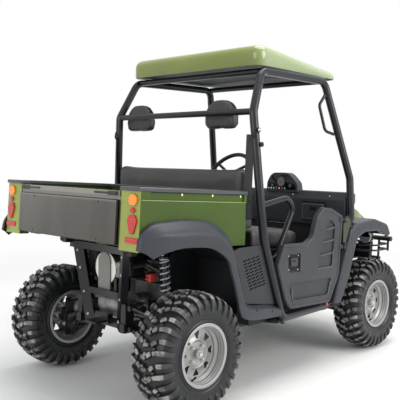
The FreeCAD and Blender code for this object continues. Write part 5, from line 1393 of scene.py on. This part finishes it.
def bodywork(settings):
    """Hood, cowl, fenders, flares, vent panels and headlamps."""
    dress((("hood", "body_green", "green", 6.0), ("cowl_panels", "cowl_green", "green", 3.0),
           ("vent_panels", "vent_grey", "grey", 0.0), ("headlamps", "lens_clear", "clear", 2.0)))
    refined("front_fenders", "body_grey", "grey", 5.0, angle=26.0, segments=3, sharp=50.0)
    flares()
    form = Form()
    bezel = [(-20, 52), (-18, 55), (12, 55), (17, 52), (17, 48), (8, 47)]
    for side in (-1, 1):
        for x, z in ((1568, 873), (1650, 882), (1766, 880)):
            form.screw((x, side * 683, z), (0, side, 0), 7.0)
        form.turned((2266, side * 290, 730), (1, 0, 0), bezel, 40)
    form.make("fender_screws", ["gloss_black"], "chassis", "plastic")


# x, z and rounding of each corner of the door
DOOR = np.array((
    (621, 708, 14), (694, 508, 60), (744, 441, 60), (1162, 427, 30), (1262, 590, 160),
    (1297, 930, 4),
    (1297, 968, 8), (1168, 1022, 40), (1084, 1031, 34), (1012, 978, 60), (966, 852, 60),
    (900, 822, 30), (680, 829, 10),
), float)


def door_fittings(label, side):
    """A door's rolled edge; the lips of its pocket and recesses, painted paler as highlights; a
    near-black plate as painted shade in its latch recess; its latch, handle and screws.
    """
    def on_skin(out, places):
        """Points from rows of (x, z), standing out from the door's outer face."""
        return [(x, side * (DOOR_SKIN_Y + out), z) for x, z in places]

    def facing(out):
        """Places outlines drawn in (x, z) over the door's outer face, d further out."""
        return lambda a, b, d: np.stack([a, 0 * a + side * (DOOR_SKIN_Y + out + d), b], 1)

    outward = (0, side, 0)
    form = Form()
    edge = drawn_in(rounded(DOOR[:, :2], DOOR[:, 2], 6, closed=True), 13)
    a = np.linspace(0, pi, 7)
    hump = [*np.column_stack([-9 * np.cos(a), 4.5 * np.sin(a)]), (9, -1.5), (-9, -1.5)]
    form.sweep(on_skin(-0.5, edge), hump, outward, closed=True, kind=4)
    # painted highlight: the pocket's lip, the three ribs and the tube below them take a paler grey
    # than the door
    lip = rounded(on_skin(0, ((762, 560), (770, 486), (1140, 474), (1170, 560))), (0, 26, 26, 0), 6)
    form.sweep(lip, [(-5, -4), (-3.5, 2), (3.5, 2), (5, -4)], outward, kind=0)
    for ends in (((1116, 889), (1206, 899)), ((1082, 811), (1200, 821)),
                 ((1049, 730), (1193, 740))):
        form.tube(on_skin(-1, ends), 3.2, steps=8, kind=0)
    ledge_highlight = ((1034, 712), (1014, 652), (1184, 652), (1196, 760))
    form.tube(on_skin(-0.5, ledge_highlight), 3.0, 12.0, steps=8, kind=0)
    # painted shade: a near-black plate at the bottom of the latch recess
    well = rounded([(730, 763), (840, 758), (836, 660), (732, 667)], 9.0, 4, closed=True)
    form.plate(well, facing(-10.5), 0.0, 2.6, 0.8, kind=2)
    handle = rounded([(762, 736), (812, 733), (810, 694), (764, 698)], 9.0, 4, closed=True)
    form.plate(handle, facing(-8), 0.0, 5.0, 2.0, kind=1)
    grip = rounded([(768, 730), (806, 728), (805, 716), (769, 718)], 4.0, 3, closed=True)
    form.plate(grip, facing(-5), 0.0, 7.0, 2.5, kind=1)
    for place in on_skin(-7.5, ((737, 756), (833, 751), (829, 667), (739, 674))):
        form.screw(place, outward, 4.0, kind=3)
    for place in on_skin(5, ((1274, 944), (1294, 944), (1274, 768), (1294, 768))):
        form.screw(place, outward, 5.0, kind=1)
    form.make("door_fittings_" + label, ["edge_grey", "gloss_black", "gasket", "zinc", "door_grey"],
              body_of("door_" + label), "grey", sharp=40.0)


def doors(settings):
    """Half doors, each with its fittings."""
    def finish(centres, normals):
        """Painted shade: a darker, coarser-grained finish at the bottom of the recesses."""
        y = np.abs(centres[:, 1])
        return np.where((np.abs(normals[:, 1]) > 0.9) & (y < 676) & (y > 668), 1, 0)

    for label, side in SIDES:
        refined("door_" + label, "door_grey", "grey", 5.0, segments=3, pick=finish,
                looks=("pocket_grey",))
        door_fittings(label, side)


# Cargo bed


def bed(settings):
    """Cargo bed with its rails, and the screws along its sides."""
    def finish(centres, normals):
        """Painted light: a paler painted reflection on the rear posts' rear faces, and a painted
        highlight on the upward faces at the crease.
        """
        x, y = centres[:, 0], np.abs(centres[:, 1])
        # painted reflection: the rear posts' rear faces get a paler green
        post = (x < BED_X + 90) & (y > POST_IN_Y - 4) & (normals[:, 0] < -0.5)
        # painted highlight: upward faces at the crease get a paler green
        ledge_highlight = (y > BED_HALF_W - 10) & (normals[:, 2] > 0.5)
        return np.where(post, 1, np.where(ledge_highlight, 2, 0))

    refined("bed", "bed_green", "green", 3.0, segments=3, pick=finish,
            looks=("post_green", "bed_edge"))
    refined("bed_rails", "rail_dark", "rail", 4.0, segments=3)
    form = Form()
    for side in (-1, 1):
        for u in (32, 284, 512, 742):
            form.screw(on_bed(u, side * (BED_HALF_W - 8), BED_TOP - 11), (0, side, 0), 7.5, 0)
        # thin tube along the crease, in the paler green of a painted highlight
        crease = [on_bed(u, side * (BED_HALF_W - 1.5), BED_CREASE + 0.5) for u in (6, BED_LEN - 6)]
        form.tube(crease, 2.4, steps=8, kind=2)
        strip = [on_bed(u, side * (BED_HALF_W - 4), BED_TOP - 1) for u in (8, BED_LEN - 8)]
        form.tube(strip, 3.2, steps=8, kind=1)
    form.make("bed_screws", ["gold", "gloss_black", "bed_edge"], body_of("bed"), "green")


def tailgate(settings):
    """Tailgate with its latches and a raised outer panel on a black plate whose rim shows round it,
    and four screws.
    """
    dress((("tailgate", "gate_bronze", "gate", 3.0), ("gate_latches", "latch_steel", "latch", 2.0)))
    form = Form()

    def panel(low, high, half, front, rear, kind):
        """Plate across the gate between two heights on it, standing out behind it."""
        outline = rounded([(-half, low), (half, low), (half, high), (-half, high)], 5.0, 3,
                          closed=True)
        form.plate(outline, lambda a, b, d: np.stack(on_bed(-d, a, b), 1), front, rear, 2.0,
                   kind=kind)

    # black plate a little larger than the panel, whose rim shows as a dark line round it
    panel(8.0, 236.0, 456.0, -1.0, 15.0, 1)
    panel(12.0, 232.0, 450.0, 14.0, 18.0, 0)
    for y in (-300, 300):
        for w in (26, 218):
            form.screw(on_bed(-17.6, y, w), (-1, 0, 0), 6.0, 1)
    form.make("tailgate_panel", ["gate_bronze", "gloss_black"], body_of("tailgate"), "gate",
              sharp=40.0)


def lamps(settings):
    """Rear turn and tail lamps."""
    dress((("turn_lamps", "lens_amber", "amber", 3.0), ("tail_lamps", "lens_red", "red", 3.0)))


# Cab


def cage(settings):
    """Roll cage, hip hoops and grab handle."""
    dress((("cage_left", "cage_black", "cage", 0.0), ("cage_right", "cage_black", "cage", 0.0),
           ("cage_bars", "cage_black", "cage", 0.0), ("hip_hoops", "gloss_black", "cage", 0.0),
           ("grab_handle", "cage_black", "cage", 0.0)))


def gauge():
    """Instrument panel on the dash pod: dial, two knobs, warning lights, needle, switches and
    the dash's screws."""
    form = Form()
    face_x, dial_y, dial_z = 1446.0, -66, 1168
    back = (-1, 0, 0)
    outline = [(-196, 1110), (58, 1110), (50, 1162), (14, 1218), (-120, 1218), (-188, 1156)]
    form.plate(rounded(outline, 16.0, 4, closed=True), across_x(face_x), -1.0, 3.0, 1.2, kind=0)
    for y, z, r in ((dial_y, dial_z, 40), (-146, 1140, 17), (14, 1140, 17)):
        bezel = [(0, r), (5, r), (8, r - 2), (8.5, r - 5), (4, r - 6)]
        form.turned((face_x - 2, y, z), back, bezel, 36, 1)
        form.turned((face_x - 2, y, z), back, [(3, r - 5), (4.2, r - 6)], 36, 2)
    for y, kind in zip(np.linspace(50, -98, 7), (3, 4, 3, 5, 4, 5, 3)):
        form.turned((face_x - 2, y, 1119), back, [(0, 4.6), (2.6, 4.2)], 12, kind)
    form.turned((face_x - 8, dial_y, dial_z), back, [(0, 4), (2, 3.4)], 16, 1)
    needle = [(face_x - 7.5, dial_y, dial_z), (face_x - 7.5, dial_y - 18, dial_z + 21)]
    form.tube(needle, 1.2, steps=6, kind=5)
    for y in (-258, -330, 110, 180):
        form.block((face_x + 22, y - 16, 1067), (face_x + 34, y + 16, 1089), 2.5, 1)
    for y in (-170, -480, 480):
        form.screw((1450, y, 1082), (-0.85, 0, 0.5), 7.0, 6)
    looks = ["gloss_black", "plastic_black", "dash_line", "dial_green", "dial_white", "dial_red",
             "zinc"]
    form.make("gauge_and_switches", looks, "chassis", "dash", sharp=40.0)


def across_x(x):
    """Places outlines drawn in (y, z) on a plane across x, d further back."""
    return lambda a, b, d: np.stack([0 * a + x - d, a, b], 1)


def glovebox_trim():
    """Latch recess of the glovebox lid and the pressed line round it."""
    form = Form()
    slot = rounded([(-382, 978), (-328, 978), (-328, 1008), (-382, 1008)], 6.0, 4, closed=True)
    form.plate(slot, across_x(1428.5), 0.0, 4.0, 1.5)
    seam = rounded([(-444, 918), (-266, 918), (-266, 1019), (-444, 1019)], 14.0, 5, closed=True)
    form.tube(across_x(1427.8)(*seam.T, 0), 1.6, steps=8, closed=True, kind=1)
    form.make("glovebox_trim", ["plastic_black", "dash_line"], body_of("glovebox_lid"), "dash",
              sharp=40.0)


def dash(settings):
    """Dashboard, glovebox lid, steering wheel, seat base, gauge and switches."""
    dress((("dash", "dash_grey", "dash", 5.0), ("glovebox_lid", "dash_grey", "dash", 2.0),
           ("steering_wheel", "plastic_black", "plastic", 0.0),
           ("seat_base", "plastic_black", "plastic", 3.0)))
    gauge()
    glovebox_trim()


def belts(settings):
    """Seat belts: a ring through each rear post's bracket and a strap down to its reel behind
    the seat."""
    form = Form()
    for side in (-1, 1):
        out = np.array([0, side, 0])
        post = np.array([483.0, side * 612.0, 1493.0])
        form.turned(post + out * 20, out, [(0, 15), (12, 15), (15, 12)], 20, 0)
        form.bolt(post + out * 34, out, 10, 7, 2)
        c, s = circle(28)
        ring = post + [-6, side * 8, -20] + np.stack([38 * c, 16 * c, 24 * s], 1)
        form.tube(ring, 5.0, steps=10, closed=True, kind=0)
        form.turned((500, side * 634, 1412), out, [(0, 8), (10, 8), (12, 14), (22, 14), (25, 10)],
                    18, 0)
        strap = [(456, side * 604, 1468), (450, side * 602, 1300), (440, side * 600, 1080)]
        section = [(-23, -0.9), (-23, 0.9), (23, 0.9), (23, -0.9)]
        form.sweep(rounded(strap, 60.0, 8), section, (-0.8, side * 0.6, 0), kind=1)
        form.block((411, side * 578, 985), (470, side * 622, 1086), 6.0, 0)
        form.turned((440, side * 578, 1035), -out, [(-4, 24), (1, 24), (2, 20)], 24, 0)
    form.make("seat_belts", ["plastic_black", "webbing", "zinc"], "chassis", "plastic", sharp=40.0)


# Seats


PUFF_FRAMES = 20


def swollen(node, look, inset, swell, voxel):
    """A packed pad filled like foam under vinyl: shrunk along its normals by inset, remeshed,
    blown up as cloth until a point has moved by swell at most, and smoothed."""
    mesh = bpy.data.meshes.new("soft_" + node)
    tool = bmesh.new()
    tool.from_mesh(frame["nodes"][node].data)
    bmesh.ops.remove_doubles(tool, verts=tool.verts, dist=WELD)
    bmesh.ops.recalc_face_normals(tool, faces=tool.faces)
    tool.normal_update()
    for vert in tool.verts:
        vert.co -= vert.normal * (inset / 1000)
    tool.to_mesh(mesh)
    tool.free()
    piece = linked(bpy.data.objects.new("soft_" + node, mesh))
    even = piece.modifiers.new("Even", "REMESH")
    even.mode = "VOXEL"
    even.voxel_size = voxel / 1000
    even.use_smooth_shade = True
    bpy.context.view_layer.update()
    settled(piece)
    rest = columns(piece.data.vertices, "co")
    blow_up(piece)
    shift = columns(piece.data.vertices, "co") - rest
    size = np.linalg.norm(shift, axis=1)[:, None]
    cap = swell / 1000
    shift *= np.where(size > cap, cap / np.maximum(size, 1e-9), 1.0)
    move_to(piece.data, rest + shift)
    relax = piece.modifiers.new("Relax", "SMOOTH")
    relax.factor = 0.5
    relax.iterations = 4
    settled(piece)
    piece.data.materials.clear()
    piece.data.materials.append(material(look))
    piece.data.shade_smooth()
    return piece


def blow_up(piece):
    """Lets air pressure push a closed pad's cloth outwards for twenty frames, without gravity."""
    cloth = piece.modifiers.new("Cloth", "CLOTH")
    cloth.settings.quality = 5
    cloth.settings.mass = 0.3
    cloth.settings.tension_stiffness = 25
    cloth.settings.compression_stiffness = 25
    cloth.settings.bending_stiffness = 2.0
    cloth.settings.use_pressure = True
    cloth.settings.uniform_pressure_force = 4.0
    cloth.settings.effector_weights.gravity = 0.0
    cloth.point_cache.frame_start = 1
    cloth.point_cache.frame_end = PUFF_FRAMES
    scene = bpy.context.scene
    for number in range(1, PUFF_FRAMES + 1):
        scene.frame_set(number)
    settled(piece)
    scene.frame_set(1)


# node, finish, inset, swell and voxel in millimetres, fill
PADS = (
    ("seat_cushion", "seat_vinyl", 9.0, 14.0, 13.0, 0.8),
    ("seat_back", "seat_vinyl", 9.0, 14.0, 13.0, 0.8),
    ("headrests", "head_vinyl", 5.0, 7.0, 8.0, 0.9),
)


def seats(settings):
    """Padded seat cushion, seat back and headrests."""
    for node, look, inset, swell, voxel, fill in PADS:
        piece = swollen(node, look, inset, swell, voxel)
        seat(piece, "chassis", "vinyl", [node])


# Panel and operators


def tint(name, description, colour):
    """Colour setting of the panel."""
    return bpy.props.FloatVectorProperty(name=name, description=description, default=colour, size=3,
                                         subtype="COLOR", min=0.0, max=1.0)


def amount(name, description, default, low, high, unit_kind="NONE"):
    """Number setting of the panel."""
    return bpy.props.FloatProperty(name=name, description=description, default=default, min=low,
                                   max=high, unit=unit_kind)


class UtvSettings(bpy.types.PropertyGroup):
    """Sizes, colours and light of the vehicle."""

    tread_pitches: bpy.props.IntProperty(name="Tread pitches",
                                         description="Lug patterns round each tyre",
                                         default=16, min=8, max=24)
    lug_height: amount("Lug height", "Height of the tread blocks", 0.0168, 0.008, 0.02, "LENGTH")
    spring_turns: amount("Spring turns", "Turns of each suspension coil", 9.0, 4.0, 14.0)
    bevel: amount("Frame edge", "Rounding of the frame bars' edges", 0.0025, 0.0, 0.01, "LENGTH")
    body_colour: tint("Hood paint", "Colour of the hood", (0.125, 0.175, 0.026))
    bed_colour: tint("Bed paint", "Colour of the cargo bed's walls", (0.048, 0.084, 0.011))
    roof_colour: tint("Roof paint", "Colour of the roof shell", (0.17, 0.21, 0.035))
    plastic_colour: tint("Fender plastic", "Colour of fenders and flares", (0.030, 0.033, 0.041))
    door_colour: tint("Door plastic", "Colour of the doors", (0.034, 0.036, 0.043))
    cage_colour: tint("Cage paint", "Colour of the roll cage", (0.009, 0.010, 0.014))
    gate_colour: tint("Tailgate paint", "Colour of the tailgate", (0.085, 0.078, 0.069))
    seat_colour: tint("Seat vinyl", "Colour of the seat covers", (0.030, 0.028, 0.028))
    rim_colour: tint("Rim paint", "Colour of the wheels' rims", (0.33, 0.33, 0.325))
    lens: amount("Lens", "Focal length of the camera in millimetres", 61.4, 20.0, 200.0)
    key_power: amount("Key light", "Power of the overhead light in watts", 260.0, 0.0, 2000.0)
    sky_strength: amount("Sky", "Strength of the light from all round", 0.75, 0.0, 4.0)


def chosen(context):
    """The panel's settings, with the finishes' colours read from them."""
    settings = context.scene.utv_settings
    for key in ("body", "bed", "roof", "plastic", "door", "cage", "gate", "seat", "rim"):
        TINTS[key] = tuple(getattr(settings, key + "_colour"))
    return settings


class UTV_OT_stage(bpy.types.Operator):
    """Set the floor, lights, background and camera"""
    bl_idname = "utv.stage"
    bl_label = "Stage"

    def execute(self, context):
        stage(chosen(context))
        return {"FINISHED"}


class UTV_OT_wheels(bpy.types.Operator):
    """Build the four tyres and rims"""
    bl_idname = "utv.wheels"
    bl_label = "Wheels"

    def execute(self, context):
        wheels(chosen(context))
        return {"FINISHED"}


class UTV_OT_chassis(bpy.types.Operator):
    """Dress the frame, steering, floor and liners"""
    bl_idname = "utv.chassis"
    bl_label = "Chassis"

    def execute(self, context):
        chassis(chosen(context))
        return {"FINISHED"}


class UTV_OT_drivetrain(bpy.types.Operator):
    """Dress the engine, gearboxes and muffler and build the half shafts"""
    bl_idname = "utv.drivetrain"
    bl_label = "Drivetrain"

    def execute(self, context):
        drivetrain(chosen(context))
        return {"FINISHED"}


class UTV_OT_suspension(bpy.types.Operator):
    """Dress the arms and knuckles and build the coil-over dampers"""
    bl_idname = "utv.suspension"
    bl_label = "Suspension"

    def execute(self, context):
        suspension(chosen(context))
        return {"FINISHED"}


class UTV_OT_rear_details(bpy.types.Operator):
    """Build the red box, the regulator, the rear legs' bolts and the sills' reflectors"""
    bl_idname = "utv.rear_details"
    bl_label = "Rear details"

    def execute(self, context):
        rear_details(chosen(context))
        return {"FINISHED"}


class UTV_OT_bodywork(bpy.types.Operator):
    """Dress the hood, cowl and fenders and build the flares"""
    bl_idname = "utv.bodywork"
    bl_label = "Bodywork"

    def execute(self, context):
        bodywork(chosen(context))
        return {"FINISHED"}


class UTV_OT_roof(bpy.types.Operator):
    """Build the roof shell and its lining"""
    bl_idname = "utv.roof"
    bl_label = "Roof"

    def execute(self, context):
        roof(chosen(context))
        return {"FINISHED"}


class UTV_OT_doors(bpy.types.Operator):
    """Dress the half doors and build their fittings"""
    bl_idname = "utv.doors"
    bl_label = "Doors"

    def execute(self, context):
        doors(chosen(context))
        return {"FINISHED"}


class UTV_OT_bed(bpy.types.Operator):
    """Dress the cargo bed and its rails and build their screws"""
    bl_idname = "utv.bed"
    bl_label = "Cargo bed"

    def execute(self, context):
        bed(chosen(context))
        return {"FINISHED"}


class UTV_OT_tailgate(bpy.types.Operator):
    """Dress the tailgate and build its outer panel"""
    bl_idname = "utv.tailgate"
    bl_label = "Tailgate"

    def execute(self, context):
        tailgate(chosen(context))
        return {"FINISHED"}


class UTV_OT_lamps(bpy.types.Operator):
    """Dress the turn and tail lamps"""
    bl_idname = "utv.lamps"
    bl_label = "Lamps"

    def execute(self, context):
        lamps(chosen(context))
        return {"FINISHED"}


class UTV_OT_cage(bpy.types.Operator):
    """Dress the roll cage, hoops and grab handle"""
    bl_idname = "utv.cage"
    bl_label = "Roll cage"

    def execute(self, context):
        cage(chosen(context))
        return {"FINISHED"}


class UTV_OT_dash(bpy.types.Operator):
    """Dress the dashboard and build its gauge and trim"""
    bl_idname = "utv.dash"
    bl_label = "Dashboard"

    def execute(self, context):
        dash(chosen(context))
        return {"FINISHED"}


class UTV_OT_belts(bpy.types.Operator):
    """Build the seat belts"""
    bl_idname = "utv.belts"
    bl_label = "Seat belts"

    def execute(self, context):
        belts(chosen(context))
        return {"FINISHED"}


class UTV_OT_seats(bpy.types.Operator):
    """Build the padded seat and headrests"""
    bl_idname = "utv.seats"
    bl_label = "Seats"

    def execute(self, context):
        seats(chosen(context))
        return {"FINISHED"}


OPERATORS = (
    UTV_OT_stage, UTV_OT_wheels, UTV_OT_chassis, UTV_OT_drivetrain, UTV_OT_suspension,
    UTV_OT_rear_details,
    UTV_OT_bodywork, UTV_OT_roof, UTV_OT_doors, UTV_OT_bed, UTV_OT_tailgate, UTV_OT_lamps,
    UTV_OT_cage, UTV_OT_dash, UTV_OT_belts, UTV_OT_seats,
)


class UTV_PT_panel(bpy.types.Panel):
    """Sidebar panel with the settings and the steps in their order"""
    bl_label = "Utility Vehicle"
    bl_idname = "UTV_PT_panel"
    bl_space_type = "VIEW_3D"
    bl_region_type = "UI"
    bl_category = "Vehicle"

    def draw(self, context):
        for name in UtvSettings.__annotations__:
            self.layout.prop(context.scene.utv_settings, name)
        for step in OPERATORS:
            self.layout.operator(step.bl_idname)


def register():
    """Registers the settings, the operators and the panel."""
    for entry in [UtvSettings, *OPERATORS, UTV_PT_panel]:
        bpy.utils.register_class(entry)
    bpy.types.Scene.utv_settings = bpy.props.PointerProperty(type=UtvSettings)


def unregister():
    """Takes them out again."""
    del bpy.types.Scene.utv_settings
    for entry in reversed([UtvSettings, *OPERATORS, UTV_PT_panel]):
        bpy.utils.unregister_class(entry)


def main():
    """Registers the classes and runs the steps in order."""
    register()
    for step in OPERATORS:
        getattr(bpy.ops.utv, step.bl_idname.split(".")[1])()


if __name__ == "__main__":
    main()
